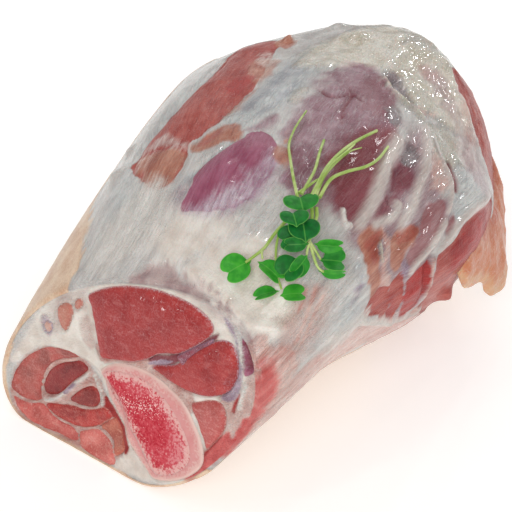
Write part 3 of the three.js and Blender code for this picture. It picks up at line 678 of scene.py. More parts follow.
# What else shows on the cut, between the pieces: as PATCHES, with outlines as (y, z).
FACE_PATCHES = {
    "pink": [
        (1, 0.6, [(60.5, 13), (58, 21), (52, 27.5), (44, 32.5), (33, 34), (27, 31), (20, 26), (15, 19),
                  (5, 11), (9, 4), (14, 0.5), (30, 0.5), (52, 1), (59, 6)]),
        (0.45, 1, [(33.5, 47), (29.5, 50), (26, 45), (24.5, 41.5), (27, 38.5), (31.5, 41.5)]),
        (1, 0.7, [(24, 43), (21.5, 37), (14, 39), (5, 40.5), (-4, 40.5), (-9, 39), (-13, 37.5), (-18, 35),
                  (-20, 37), (-17, 42), (-9, 42), (0, 46), (10, 43)]),
        (0.8, 2, [(-28, 46), (-35, 48), (-38, 57), (-42, 62), (-47, 50), (-41, 40), (-30, 22), (-25, 12),
                  (-20, 14), (-28, 30), (-31, 38)]),
    ],
    "fat": [
        (0.9, 1.5, [(62, 20), (56, 34), (50, 46), (38, 58), (20, 69), (0, 74), (-20, 72), (-30, 66),
                    (-40, 52), (-34, 30), (-26, 16), (-14, 6), (8, 2), (8, 12), (26, 32), (46, 32),
                    (58, 22)]),
    ],
    "mauve_fat": [
        (0.6, 2.5, [(30, 62), (18, 69), (4, 73), (-10, 74), (-24, 72), (-30, 68), (-20, 71),
                    (-8, 72.5), (6, 71.5), (20, 67)]),
        (0.4, 3, [(50, 40), (44, 52), (34, 60), (31, 55), (38, 46), (44, 36)]),
    ],
    "lilac": [
        (0.8, 0.6, [(-24, 70.5), (-28.5, 67), (-31, 64), (-32.3, 60), (-32.5, 54.5), (-31, 49.5),
                    (-29, 45), (-32.5, 45), (-35, 48), (-35.6, 53), (-35, 57.5), (-33.4, 61),
                    (-31.3, 65.6), (-28.7, 69), (-25, 71)]),
        (1, 0.4, [(-8, 49), (-4, 46), (2, 44), (-3, 47.5)]),
        (0.6, 1, [(49, 43), (51, 41), (49.5, 37.5), (46, 35.5), (44, 38), (46, 42)]),
    ],
    # Painted shade: a dark purple lens in the hollow at the cut's upper near edge, where the fascia folds
    # over.
    "violet": [
        (1, 0.8, [(-32.5, 68), (-34.5, 67.2), (-37.3, 65), (-38.9, 61.5), (-38.5, 58), (-36.4, 55.8),
                  (-35, 57.5), (-33.8, 61), (-32.6, 65)]),
    ],
    "deep": [
        (1, 0.5, [(-23, 65), (-18.5, 61.5), (-13, 56.5), (-8.5, 52), (-1, 48.6), (2.5, 45.5), (-3, 45),
                  (-9, 48.5), (-14, 53.5), (-19, 59), (-23, 63)]),
    ],
    # Painted shade: a dark red band in the gap between the calf's tendon and the bone.
    "bright": [
        (1, 0.5, [(18.5, 24), (14.5, 21.5), (9.5, 17.5), (4, 13), (3, 10), (6, 10), (12, 16),
                  (16.5, 18.5), (19.5, 21)]),
    ],
    "blood": [
        (1, 0.5, [(-12, 2), (-20.5, 10), (-24, 17.5), (-27.5, 23.5), (-30.2, 28.3), (-33, 34),
                  (-34.8, 35.4), (-36, 33.5), (-38, 39.5), (-40, 43), (-50, 46), (-50, 16), (-30, -6),
                  (-12, -6)]),
    ],
}

FACE_RIDGE_FADE = 0.1
FACE_RIDGES = [  # as RIDGES, with the line as (y, z)
    ("silver", 1.0, 1.8, [(25.5, 30.5), (29, 26.5), (32.5, 22.8), (35, 19.5), (38, 15.7), (42, 12.3),
                          (47, 10.7)]),
    ("silver", 0.7, 1.2, [(26, 30), (23, 27), (20.5, 24.5), (19.5, 21.5), (18.3, 19.5)]),
    ("lilac", 0.8, 0, [(31.5, 24), (34, 20.6), (36.3, 17.4)]),
    ("silver", 0.9, 0.5, [(-24.5, 70), (-30, 66.6), (-33.6, 61), (-34.6, 54), (-32.5, 47.5)]),
    ("silver", 1.0, 0.8, [(-37.5, 54), (-36.6, 48), (-37, 43.5)]),
    ("bright", 0.8, -0.4, [(-36, 49.8), (-34.6, 45.2), (-34.4, 41.4)]),
    # A real groove, also darkened along its length with painted shade in deep red.
    ("deep", 1.3, -1.4, [(-33, 66.5), (-36, 64), (-37, 60.5), (-36.6, 58)]),
    ("bright", 1.0, 0, [(-20.5, 11), (-24, 18), (-27.3, 23.5), (-30.3, 28.5), (-33.5, 34)]),
]
FACE_BUMPS = [(3, 8.8, 2.3, 1.8), (-2, 5, 2, 0.8)]  # knobs of gristle: y, z, reach, height
FACE_TAN_BAND = dict(start=186, end=292, fade=8, width=2.2)  # skin along the cut's lower far edge, by angle
CALF = dict(middle=(33, 17), reach=(29, 18), sunk=2.6)  # how the calf has drawn back into the leg
PIECE_LIP = dict(height=0.5, gap=0.6, reach=0.8)  # flesh that stands up round each piece
UNDER_PIECE = 2.0  # how far the flesh falls away under a piece


def face_swell(across_up):
    """How far the cut as a whole stands out of its plane at (y, z): less over the calf."""
    across, up = ((across_up - CALF["middle"]) / CALF["reach"]).T
    calf = np.hypot(across, up)
    level = np.concatenate([across_up, np.zeros((len(across_up), 1))], -1)
    return 0.35 * lumps(level, 11, 6) - CALF["sunk"] * smooth(1.02, 0.8, calf)


def on_cut(across_up, out):
    """Points on the cut at (y, z), moved out of it by this many mm."""
    slant = math.hypot(1, CUT_SLOPE)
    flat = np.stack([CUT_SLOPE * across_up[:, 1], across_up[:, 0], across_up[:, 1]], -1)
    return flat + np.outer(out, (-1 / slant, 0, CUT_SLOPE / slant))


# --- meshes ---------------------------------------------------------------------------------------------


def make_mesh(name, points, faces, values=None):
    """A mesh in the frame from points in mm on the leg, with a float attribute for each named value."""
    mesh = bpy.data.meshes.new(name)
    mesh.from_pydata(((points + ORIGIN) * MM).tolist(), [], [list(map(int, face)) for face in faces])
    mesh.polygons.foreach_set("use_smooth", np.ones(len(mesh.polygons), bool))
    for key, value in (values or {}).items():
        kind, field = ("FLOAT", "value") if value.ndim == 1 else ("FLOAT_VECTOR", "vector")
        mesh.attributes.new(key, kind, "POINT").data.foreach_set(field, value.astype(np.float32).ravel())
    mesh.validate()
    return mesh


def add_piece(name, mesh, material, replaces=()):
    """Puts a finished mesh in the scene as a piece that rides on the part's only body."""
    piece = bpy.data.objects.new(name, mesh)
    bpy.context.scene.collection.objects.link(piece)
    mesh.materials.clear()
    mesh.materials.append(material)
    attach(piece, "root")
    if replaces:
        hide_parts(*replaces)


def grid_faces(rows, columns):
    """The faces of a closed surface over rows of points, with a pole after the grid at either end."""
    row, column = np.meshgrid(np.arange(rows - 1), np.arange(columns), indexing="ij")
    a, b = row * columns + column, row * columns + (column + 1) % columns
    quads = np.stack([a, a + columns, b + columns, b], -1).reshape(-1, 4).tolist()
    first, last = rows * columns, (rows - 1) * columns
    for i in range(columns):
        j = (i + 1) % columns
        quads.append([first, i, j])
        quads.append([first + 1, last + j, last + i])
    return quads


# --- flesh ----------------------------------------------------------------------------------------------

NEAR_ARC = (-30, 160)  # the angles that face up and near, where the grid is finest
NEAR_COLUMNS, FAR_COLUMNS = 230, 86  # steps round that arc, and round the rest
FACE_RINGS, RIM_ROWS, BODY_ROWS = 60, 5, 238  # rows over the cut, round its rim and along the leg
FACE_POLE = (4, 34)  # where the face's rings close up, as (y, z)
RIM_RADIUS = 1.6
LOG_RADIUS = 50  # of the straight log that the grain is measured on
LOG_STEPS = 3000
RING_GAP = 0.8  # about how far apart the rings of the face are


def leg_grid():
    """Rows of points over the cut, round its rim and along the leg. With them go each one's x and angle,
    and its place in the grain: on a straight log, whose sides the leg's fibres follow and whose end is the
    cut."""
    first, last = NEAR_ARC
    near = np.linspace(first, last, NEAR_COLUMNS, endpoint=False)
    far = np.linspace(last, first + 360, FAR_COLUMNS, endpoint=False)
    angle = np.concatenate([near, far])
    start = cut_start(angle)
    corner = skin(start, angle)
    pole = np.array([CUT_SLOPE * FACE_POLE[1], *FACE_POLE])
    reach = np.linalg.norm(corner - pole, axis=1)[:, None]
    inward = (pole - corner) / reach
    along = skin(start + 2, angle) - corner
    along /= np.linalg.norm(along, axis=1)[:, None]
    rings = [
        corner + inward * (reach - (reach - RIM_RADIUS) * k / FACE_RINGS)
        for k in range(1, FACE_RINGS + 1)
    ]
    for turn in np.radians(90 * np.arange(1, RIM_ROWS + 1) / (RIM_ROWS + 1)):
        rings.append(corner + RIM_RADIUS * (inward * (1 - np.sin(turn)) + along * (1 - np.cos(turn))))
    fine = LENGTH * np.sin(np.linspace(0, math.pi / 2, LOG_STEPS))
    share = np.clip((fine - DOME_START) / (LENGTH - DOME_START), 0, 1)
    profile = LOG_RADIUS * (1 - share**DOME_ALONG) ** (1 / DOME_ACROSS)
    run = np.concatenate([[0], np.cumsum(np.hypot(np.diff(fine), np.diff(profile)))])
    stops = np.interp(np.arange(BODY_ROWS) / BODY_ROWS * run[-1], run, fine) / LENGTH
    x = (start + RIM_RADIUS) + (LENGTH - start - RIM_RADIUS) * stops[:, None]
    x_all = np.concatenate([np.tile(start, (FACE_RINGS + RIM_ROWS, 1)), x])
    grid = np.concatenate([np.array(rings), skin(x, angle)])
    turn = np.radians(np.tile(angle, (len(grid), 1)))
    on_end = LOG_RADIUS * np.arange(1, FACE_RINGS + RIM_ROWS + 1)[:, None] / (FACE_RINGS + RIM_ROWS)
    log = np.concatenate([np.tile(on_end, len(angle)), np.interp(x, fine, profile)])
    grain = np.stack([x_all, log * np.cos(turn), log * np.sin(turn)], -1)
    return grid, x_all, np.tile(angle, (len(grid), 1)), grain


def tissue_heights(points, grain, shows):
    """How far each point stands out, from the tissues that show there, one over the other. Lumps are given
    by their height, their size in mm along and across the grain, and a seed."""
    height = 0.15 * lumps(grain, (20, 3, 3), 1) + 0.35 * lumps(points, 14, 2)
    strands = 0.6 * lumps(grain, (18, 2.2, 2.2), 8) + 0.4 * lumps(grain, (10, 1.3, 1.3), 9)
    bumps = 0.7 * lumps(points, 6, 10) + 0.3 * lumps(points, 2.6, 11)
    bent = grain + 3 * np.stack([lumps(points, 9, seed) for seed in (12, 13, 14)], -1)
    creases = 1 - 2 * np.abs(0.6 * lumps(bent, (9, 4, 4), 15) + 0.4 * lumps(bent, (5, 2.4, 2.4), 16)) ** 0.7
    for name in TISSUES:
        lift, streak, lump, wrinkle = STANDING[name]
        own = lift + streak * strands + lump * bumps + wrinkle * creases
        height += (own - height) * shows[name]
    return height


def flesh_mesh():
    """The whole leg: membranes, fat and outer muscles, and what lies between the pieces of the cut."""
    grid, x, angle, grain = leg_grid()
    normals = grid_normals(grid).reshape(-1, 3)
    rows, columns = grid.shape[:2]
    points, grain = grid.reshape(-1, 3), grain.reshape(-1, 3)
    x, angle = x.ravel(), angle.ravel()
    on_face = np.arange(len(points)) < FACE_RINGS * columns
    shows, lift = paint(points, x, angle, ~on_face)
    at_end = smooth(END_START, END_START + END_FADE, x) * ~on_face
    for name, patches in END_PATCHES.items():
        for show, soft, outline in patches:
            depth = depth_inside(rounded(outline), points[:, 1:]) + END_STRAY * lumps(points, 3, 5)
            shows[name] = np.maximum(shows[name], show * smooth(-soft, soft, depth) * at_end)
    height = tissue_heights(points, grain, shows) + lift

    at = points[on_face][:, 1:]
    nearest = np.full(len(at), -np.inf)
    for cut in CUTS.values():
        nearest = np.maximum(nearest, depth_inside(rounded(cut["outline"], 3), at))
    ragged = 0.5 * lumps(points[on_face], 2.2, 20)
    for name, patches in FACE_PATCHES.items():
        for show, soft, outline in patches:
            depth = depth_inside(rounded(outline, 3), at) + ragged * soft
            shows[name][on_face] = np.maximum(shows[name][on_face], show * smooth(-soft, soft, depth))
    reach = RIM_RADIUS + (FACE_RINGS - 1 - np.arange(len(at)) // columns) * RING_GAP
    turn = angle[on_face]
    start, end, fade, width = (FACE_TAN_BAND[key] for key in ("start", "end", "fade", "width"))
    band = smooth(start - fade, start, turn) * smooth(end + fade, end, turn)
    shows["rind"][on_face] = band * smooth(width + 1, width - 1, reach + ragged)
    extra = np.zeros(len(at))
    for name, width, rise, route in FACE_RIDGES:
        gap, run = gap_to_line(rounded(route, closed=False), at)
        body = ridge(gap, run, width, FACE_RIDGE_FADE)
        extra += rise * body
        shows[name][on_face] = np.maximum(shows[name][on_face], body)
    for y, z, size, rise in FACE_BUMPS:
        extra += rise * np.exp(-((at - (y, z)) ** 2).sum(-1) / size**2)
    height[on_face] = (
        face_swell(at)
        + extra
        + PIECE_LIP["height"] * np.exp(-(((nearest + PIECE_LIP["gap"]) / PIECE_LIP["reach"]) ** 2))
        - UNDER_PIECE * smooth(0, 1.5, nearest)
        + 0.12 * lumps(points[on_face], 1.8, 21)
    )
    moved = points + normals * height[:, None]
    moved[:, 2] = above_floor(moved[:, 2], 0.25)
    pole = np.array([FACE_POLE], float)
    ends = np.array([on_cut(pole, face_swell(pole) - UNDER_PIECE)[0], skin(LENGTH, 90)])
    values = {name: np.concatenate([show, show[:1] * 0, show[-1:]]) for name, show in shows.items()}
    values["grain"] = np.vstack([grain, grain[:1], grain[-1:]]) * MM
    return make_mesh("flesh_surface", np.vstack([moved, ends]), grid_faces(rows, columns), values)


# --- pieces laid open by the cut ------------------------------------------------------------------------

CAP_STEP = 0.85  # mm between the points of a piece's cut face
CALF_GROWTH = 0.45  # mm by which the calf's muscles swell past their outlines
LOFT = [(0.02, 1.0), (0.45, 0.96), (0.85, 0.78), (1, 0.42)]  # how a piece narrows: (share of depth, size)
LOFT_START = 2  # mm behind the cut from which its depth is measured
RISE = 0.1  # how far the pieces climb for each millimetre into the leg
# How a piece's face climbs in from its outline, in mm: where it starts, how far it climbs and within what.
MUSCLE_RIM = dict(drop=0.8, climb=1.1, within=1.2)
BONE_RIM = dict(drop=0.6, climb=0.6, within=0.8)
DOME_REACH = 4  # how far in from its outline a muscle's dome builds up
BONE_UNEVEN = 0.3  # how uneven sawn bone is beside muscle
UNDER_CORE = 1.2  # how far the bone falls away under its core


def cap_points(outline):
    """Points over a flat outline: the outline's own first, then a honeycomb of them inside it."""
    low, high = outline.min(0), outline.max(0)
    up = np.arange(low[1], high[1], CAP_STEP * math.sqrt(0.75))
    across = np.arange(low[0], high[0], CAP_STEP)
    rows = [
        np.stack([across + (k % 2) * CAP_STEP / 2, np.full(len(across), z)], -1)
        for k, z in enumerate(up)
    ]
    inside = np.concatenate(rows)
    inside = inside[depth_inside(outline, inside) > CAP_STEP * 0.6]
    count = len(outline)
    edges = [(i, (i + 1) % count) for i in range(count)]
    flat = [Vector(p) for p in np.vstack([outline, inside]).tolist()]
    points, _, faces, *_ = delaunay_2d_cdt(flat, edges, [], 1, 1e-5)
    return np.array([tuple(p) for p in points]), faces


def cut_mesh(name, cut):
    """A piece with its face swelling out of the cut, tapering to a blunt end inside the leg."""
    outline = evenly(rounded(cut["outline"]), CAP_STEP)
    if name.startswith("calf"):
        outline = widened(outline, CALF_GROWTH)
    if turning(outline) > 0:
        outline = outline[::-1]
    flat, faces = cap_points(outline)
    depth = np.maximum(depth_inside(outline, flat), 0)
    solid = np.column_stack([np.zeros(len(flat)), flat])
    grain = 0.16 * lumps(solid, 1.7, 30) + 0.22 * lumps(solid, 5, 31)
    rim, uneven = (MUSCLE_RIM, grain) if cut["dome"] else (BONE_RIM, BONE_UNEVEN * grain)
    if name == "bone_core":
        height = CUTS["shin_bone"]["lift"] + uneven
    else:
        height = cut["lift"] - rim["drop"] + rim["climb"] * smooth(0, rim["within"], depth)
        height += cut["dome"] * (1 - np.exp(-depth / DOME_REACH))
        height += uneven
    if name == "shin_bone":
        core = rounded(CUTS["bone_core"]["outline"])
        height -= UNDER_CORE * smooth(0.3, 1.1, depth_inside(core, flat))
    front = on_cut(flat, face_swell(flat) + height)
    centre = outline.mean(0)
    count = len(outline)
    layers, edge = [front], [depth]
    for share, size in LOFT:
        ring = centre + (flat - centre) * size + (0, RISE * cut["depth"] * share)
        placed = on_cut(ring, np.zeros(len(ring))) + (cut["depth"] * share + LOFT_START, 0, 0)
        layers.append(placed[:count] if share < 1 else placed)
        edge.append(np.zeros(len(layers[-1])))
    quads = []
    starts = np.cumsum([0] + [len(layer) for layer in layers[:-1]])
    for low, high in zip(starts, starts[1:]):
        for i in range(count):
            j = (i + 1) % count
            quads.append([low + j, low + i, high + i, high + j])
    faces = [list(face) for face in faces]
    caps = faces + [[starts[-1] + k for k in reversed(face)] for face in faces]
    mesh = make_mesh(name, np.vstack(layers), caps + quads, {"edge": np.concatenate(edge)})
    return facing_out(mesh)


def facing_out(mesh):
    """The same mesh, with its faces turned outwards."""
    shape = bmesh.new()
    shape.from_mesh(mesh)
    bmesh.ops.recalc_face_normals(shape, faces=shape.faces)
    shape.to_mesh(mesh)
    shape.free()
    return mesh


# --- flap of skin ---------------------------------------------------------------------------------------

# The free edge of the flap, as (x, y, z), from its end nearer the cut.
FLAP_EDGE = [(116, -58, 44), (121, -58.5, 37), (128, -58.5, 32), (134, -58, 30), (140, -58.5, 26),
             (144, -59, 19), (150, -60, 15), (156, -60.5, 15), (161, -58, 18), (165, -54.5, 24),
             (169, -51, 30), (173, -47, 37), (178, -41, 44)]
# Its root, a line along the leg at this angle, moved by (y, z), how far it bends out of the straight way
# down as (y, z), and its thickness.
FLAP = dict(angle=10, root=(7, 2), bend=(-4, 4), root_thickness=8, tip_thickness=4)
FLAP_ROWS, FLAP_STEPS = 110, 44


def flap_mesh():
    """The flap as a grid: each row is a closed loop, down one side and up the other."""
    curve = rounded(FLAP_EDGE, closed=False)
    run = np.concatenate([[0], np.cumsum(np.linalg.norm(np.diff(curve, axis=0), axis=1))])
    share = np.linspace(0, 1, FLAP_ROWS)
    free = np.stack([np.interp(share * run[-1], run, curve[:, k]) for k in range(3)], -1)
    free[:, 1:] += 0.6 * np.stack([lumps(free, 5, seed) for seed in (42, 43)], -1)
    x = free[:, 0]
    droop = np.minimum(1, np.sin(math.pi * share) * 3) ** 0.5
    root = skin(x, FLAP["angle"])[:, 1:] + FLAP["root"]
    tip = root + (free[:, 1:] - root) * droop[:, None]
    bend = (root + tip) / 2 + FLAP["bend"] * droop[:, None]
    turn = np.linspace(0, 2 * math.pi, 2 * FLAP_STEPS, endpoint=False)
    down = (0.5 - 0.5 * np.cos(turn))[None, :, None]
    side = np.sin(turn)[None, :, None]
    root, bend, tip = (curve[:, None] for curve in (root, bend, tip))
    place = (1 - down) ** 2 * root + 2 * down * (1 - down) * bend + down**2 * tip
    slope = 2 * (1 - down) * (bend - root) + 2 * down * (tip - bend)
    slope /= np.maximum(np.linalg.norm(slope, axis=-1, keepdims=True), 1e-6)
    thick = FLAP["root_thickness"] + (FLAP["tip_thickness"] - FLAP["root_thickness"]) * down
    across = np.concatenate([slope[..., 1:], -slope[..., :1]], -1)
    flat = place - across * side * thick / 2
    grid = np.concatenate([np.broadcast_to(x[:, None, None], flat.shape[:2] + (1,)), flat], -1)
    points = grid.reshape(-1, 3)
    swell = 0.7 * lumps(points, 8, 40) + 0.35 * lumps(points, 3, 41)
    moved = points + grid_normals(grid).reshape(-1, 3) * swell[:, None]
    moved[:, 2] = np.maximum(moved[:, 2], 0.1)
    ends = np.array([grid[0].mean(0), grid[-1].mean(0)])
    values = {"down": np.concatenate([np.broadcast_to(down[..., 0], grid.shape[:2]).ravel(), [0, 0]])}
    faces = grid_faces(*grid.shape[:2])
    return facing_out(make_mesh("flap_surface", np.vstack([moved, ends]), faces, values))


# --- sprouts --------------------------------------------------------------------------------------------

LEAF_THICKNESS = 0.4
LEVEL = np.array([0.59, -0.807, 0])  # across the bunch, from its left to its right
NEARER = np.array([-0.807, -0.59, 0])  # down the leg's near side, the way the leaves face

# Seed leaves: x, angle, height over the leg, turn of the blade (degrees up from LEVEL), length (mm), width
# (mm), lean (how far it faces NEARER, in degrees), roll about its midrib (degrees), fold, and painted light
# (0 a dark, shaded leaf, 1 a fresh green, lit one).
LEAVES = [
    (34, 80.5, 4.5, 210, 10.5, 9.5, 35, 5, 0.12, 0.9),
    (37.5, 71.5, 4.5, -42, 10.5, 7.4, 35, -30, 0.3, 0.85),
    (41.5, 66.5, 4.5, 226, 9.5, 9.5, 35, 15, 0.25, 0.1),
    (43.5, 64.5, 6, 232, 8.5, 6, 35, -35, 0.3, 0.45),
    (54, 60.5, 5, -4, 10, 5, 35, 46, 0.25, 0.7),
    (52, 55.5, 4.5, -6, 8.5, 8.5, 35, -15, 0.25, 0.35),
    (50, 52.5, 3.5, -4, 9.5, 4, 35, 65, 0.3, 0.7),
    (32.7, 67.5, 3.5, 197, 9, 5.5, 35, 35, 0.3, 0.8),
    (37.2, 60, 3.5, 5, 8.5, 6.5, 35, -20, 0.2, 0.9),
    (48.4, 72.5, 4.5, 195, 8.5, 8, 35, 0, 0.1, 0.05),
    (52, 70, 6.5, 97, 9, 9.8, 25, 5, 0.12, 0.0),
    (47.6, 69.6, 5, 184, 8.5, 4.6, 20, -35, 0.3, 0.15),
    (58.8, 76, 6, 99, 8.6, 11, 10, 0, 0.12, 0.3),
    (52.6, 74, 8.5, 102, 7.2, 9, 15, 5, 0.15, 0.1),
]

# Stems: thickness (mm) at the start and the end, and places from the bunch's middle outwards: x, angle,
# height over the leg.
STEM_SIDES = 8
STEMS = [
    (1.2, 0.7, [(60, 78, 5), (66, 83, 4), (73, 87, 3), (80, 89.5, 2.5), (88, 90, 2.5), (96, 90, 2.5),
                (103, 90, 2)]),
    (1.2, 1, [(62, 78, 5), (68, 79, 4), (74, 80, 3), (83, 82, 2.5), (90, 83, 2)]),
    (1.5, 1.1, [(62, 75, 5), (68, 76, 5), (76, 77, 4.5), (86, 76.5, 4), (96, 75, 3.4), (107, 72.5, 2.6)]),
    (1.3, 0.7, [(62, 74.5, 5.4), (68, 75.5, 5.2), (76, 76.5, 4.9), (86, 75.5, 4.2), (93, 75, 3.6)]),
    (1.5, 0.4, [(63, 74, 5), (71, 76, 4.6), (79, 76, 4), (88, 75, 3.4), (94, 73, 3)]),
    (1.3, 1, [(64, 73, 5), (72, 74, 4.4), (79, 72, 3.6), (87, 68.5, 3), (95, 67, 2.6), (104, 67, 2.3)]),
    (1.2, 0.7, [(62, 79, 4.6), (67, 78, 4), (71, 77, 3.6)]),
    (1.2, 0.9, [(53, 77, 4.2), (47, 77.5, 4.4), (42, 77.5, 4.3), (38.5, 78.5, 4.3), (36, 79.5, 4.3)]),
    (0.9, 0.7, [(46, 77.5, 4.2), (41, 77.5, 4.2), (39, 76, 4)]),
    (0.9, 0.7, [(51, 77.5, 4), (46, 76, 3.4), (42, 73.5, 3), (38.5, 70, 2.8), (36, 64.5, 2.8)]),
    (1.2, 0.7, [(52, 67.5, 4.6), (50.5, 66.5, 4.4), (48.5, 65.5, 4.4), (47, 64.5, 4.4)]),
    (1.2, 0.7, [(51, 67, 4.4), (50.5, 64.5, 4.3), (50, 62, 4.2), (49.5, 59.5, 4.2)]),
    (1.2, 0.7, [(51, 66.5, 4.2), (48.5, 62, 4), (47.5, 58.5, 3.6), (48, 55.5, 3.6)]),
    (1.3, 1.1, [(60, 73, 4.4), (57.5, 71, 4.2), (54.5, 69.5, 4)]),
    (1.3, 1.1, [(61, 72, 4.2), (58.5, 70, 4), (55.5, 69.5, 4)]),
]


def tubes(name, paths, surface):
    """Round tubes through places in mm on the leg, by geometry nodes. A path is its points and radii."""
    curve = bpy.data.curves.new(name, "CURVE")
    curve.dimensions = "3D"
    for points, radii in paths:
        spline = curve.splines.new("POLY")
        spline.points.add(len(points) - 1)
        for point, place, radius in zip(spline.points, points, radii):
            point.co = (*((place + ORIGIN) * MM), 1)
            point.radius = radius
    holder = bpy.data.objects.new(name, curve)
    bpy.context.scene.collection.objects.link(holder)

    tree = bpy.data.node_groups.new("tubes_along_paths", "GeometryNodeTree")
    tree.interface.new_socket("Paths", in_out="INPUT", socket_type="NodeSocketGeometry")
    unit = tree.interface.new_socket("Radius Unit", in_out="INPUT", socket_type="NodeSocketFloat")
    sides = tree.interface.new_socket("Sides", in_out="INPUT", socket_type="NodeSocketInt")
    tree.interface.new_socket("Tubes", in_out="OUTPUT", socket_type="NodeSocketGeometry")
    given = node(tree, "NodeGroupInput", out=None).outputs
    ring = node(tree, "GeometryNodeCurvePrimitiveCircle", {"Resolution": given["Sides"],
                                                           "Radius": given["Radius Unit"]})
    scale = node(tree, "GeometryNodeInputRadius")
    tube = node(tree, "GeometryNodeCurveToMesh", {"Curve": given["Paths"], "Profile Curve": ring,
                                                  "Scale": scale, "Fill Caps": True})
    smoothed = node(tree, "GeometryNodeSetShadeSmooth", {"Geometry": tube})
    real = node(tree, "GeometryNodeRealizeInstances", {"Geometry": smoothed})
    coloured = node(tree, "GeometryNodeSetMaterial", {"Geometry": real, "Material": surface})
    node(tree, "NodeGroupOutput", {0: coloured}, out=None)
    modifier = holder.modifiers.new("tubes", "NODES")
    modifier.node_group = tree
    modifier[unit.identifier] = MM
    modifier[sides.identifier] = STEM_SIDES
    seen = holder.evaluated_get(bpy.context.evaluated_depsgraph_get())
    mesh = bpy.data.meshes.new_from_object(seen)
    bpy.data.objects.remove(holder)
    mesh.name = name
    return facing_out(mesh)


def stems_mesh(surface):
    """All the stems as one mesh of tubes."""
    paths = []
    for start, end, places in STEMS:
        route = rounded([skin(x, a) + outward(x, a) * lift for x, a, lift in places], 5, closed=False)
        paths.append((route, np.linspace(start, end, len(route)) / 2))
    return tubes("stems", paths, surface)


def leaf_points(x, angle, lift, turn, length, width, lean, roll, fold, _):
    """One heart-shaped seed leaf: rows of points over its upper and then its lower side."""
    rings, steps = 10, 48
    round_ = np.linspace(0, 360, steps, endpoint=False)
    off = np.abs(turned(round_, 0))
    # A notch at the tip with a lobe on either side, and a narrower base that runs to a point.
    heart = 1 - 0.36 * np.exp(-((off / 15) ** 2)) + 0.1 * np.exp(-(((off - 45) / 28) ** 2))
    heart += -0.26 * np.exp(-(((off - 180) / 60) ** 2)) + 0.24 * np.exp(-(((off - 180) / 9) ** 2))
    share = np.sqrt(np.arange(1, rings + 1) / rings)[:, None]
    along = length / 2 * share * heart * np.cos(np.radians(round_))
    side = width / 2 * share * heart * np.sin(np.radians(round_)) * 1.08
    cup = (fold + 0.06) * np.sqrt(side**2 + 0.3) - 0.03 * along**2
    cup += 0.15 * np.sin(np.radians(round_ * 3)) * share**2
    half = LEAF_THICKNESS / 2 * np.sqrt(np.maximum(1 - share**8, 0))
    upper, lower = (np.stack([along, side, cup + rise], -1) for rise in (half, -half))
    flat = np.concatenate([upper, lower[-2::-1]])
    poles = np.array([[0, 0, fold * 0.55 + LEAF_THICKNESS / 2], [0, 0, fold * 0.55 - LEAF_THICKNESS / 2]])
    flat = np.vstack([flat.reshape(-1, 3), poles])
    lean, turn, roll = (math.radians(value) for value in (lean, turn, roll))
    facing = math.sin(lean) * NEARER + math.cos(lean) * np.array([0, 0, 1])
    ahead = math.cos(turn) * LEVEL + math.sin(turn) * np.cross(facing, LEVEL)
    facing = math.cos(roll) * facing + math.sin(roll) * np.cross(ahead, facing)
    place = skin(x, angle) + outward(x, angle) * lift
    out = np.broadcast_to(share, (rings, steps))
    rim = np.concatenate([out, out[-2::-1]])
    values = {"across": flat[:, 1] / width, "rim": np.concatenate([rim.ravel(), [0, 0]])}
    placed = place + flat @ np.array([ahead, np.cross(facing, ahead), facing])
    return placed, grid_faces(2 * rings - 1, steps), values


def leaves_mesh():
    """All the seed leaves as one mesh."""
    points, faces, values = [], [], {"bright": [], "across": [], "rim": []}
    for leaf in LEAVES:
        placed, own_faces, own_values = leaf_points(*leaf)
        offset = sum(len(p) for p in points)
        faces += [[k + offset for k in face] for face in own_faces]
        points.append(placed)
        values["bright"].append(np.full(len(placed), leaf[-1]))
        values["across"].append(own_values["across"])
        values["rim"].append(own_values["rim"])
    values = {key: np.concatenate(value) for key, value in values.items()}
    return facing_out(make_mesh("leaves", np.vstack(points), faces, values))


# --- materials ------------------------------------------------------------------------------------------


def linear(colour):
    """An sRGB hex colour as the linear numbers that sockets take."""
    parts = [int(colour[i:i + 2], 16) / 255 for i in (1, 3, 5)]
    return (*(p / 12.92 if p <= 0.04045 else ((p + 0.055) / 1.055) ** 2.4 for p in parts), 1.0)


def node(tree, kind, inputs=(), out=0, **settings):
    """Adds a node and gives back one of its outputs. Its inputs, in order or by name or place, each take a
    value or another node's output."""
    made = tree.nodes.new(kind)
    for key, value in settings.items():
        setattr(made, key, value)
    for key, value in inputs.items() if isinstance(inputs, dict) else enumerate(inputs):
        if isinstance(value, bpy.types.NodeSocket):
            tree.links.new(value, made.inputs[key])
        else:
            made.inputs[key].default_value = value
    return made if out is None else made.outputs[out]


SOFT = dict(interpolation_type="SMOOTHSTEP")


def new_material(name):
    """A new material, its node tree, and where its patterns are measured from."""
    made = bpy.data.materials.new(name)
    made.use_nodes = True
    made.node_tree.nodes.clear()
    return made, made.node_tree, node(made.node_tree, "ShaderNodeTexCoord", out="Object")


def specks(tree, place, sizes, detail=3):
    """Noise from 0 to 1 whose lumps measure these millimetres along x, y and z."""
    sized = node(tree, "ShaderNodeMapping", {"Vector": place, "Scale": [1 / (size * MM) for size in sizes]})
    return node(tree, "ShaderNodeTexNoise", {"Vector": sized, "Scale": 1.0, "Detail": detail})


def net(tree, place, sizes):
    """The distance to the threads of a crooked net, whose meshes measure these millimetres."""
    sized = node(tree, "ShaderNodeMapping", {"Vector": place, "Scale": [1 / (size * MM) for size in sizes]})
    bent = node(tree, "ShaderNodeTexNoise", {"Vector": sized, "Scale": 1.3, "Detail": 2}, "Color")
    moved = node(tree, "ShaderNodeMix", {0: 0.45, 4: sized, 5: bent}, 1, data_type="VECTOR")
    return node(tree, "ShaderNodeTexVoronoi", {"Vector": moved, "Scale": 1.8}, feature="DISTANCE_TO_EDGE")


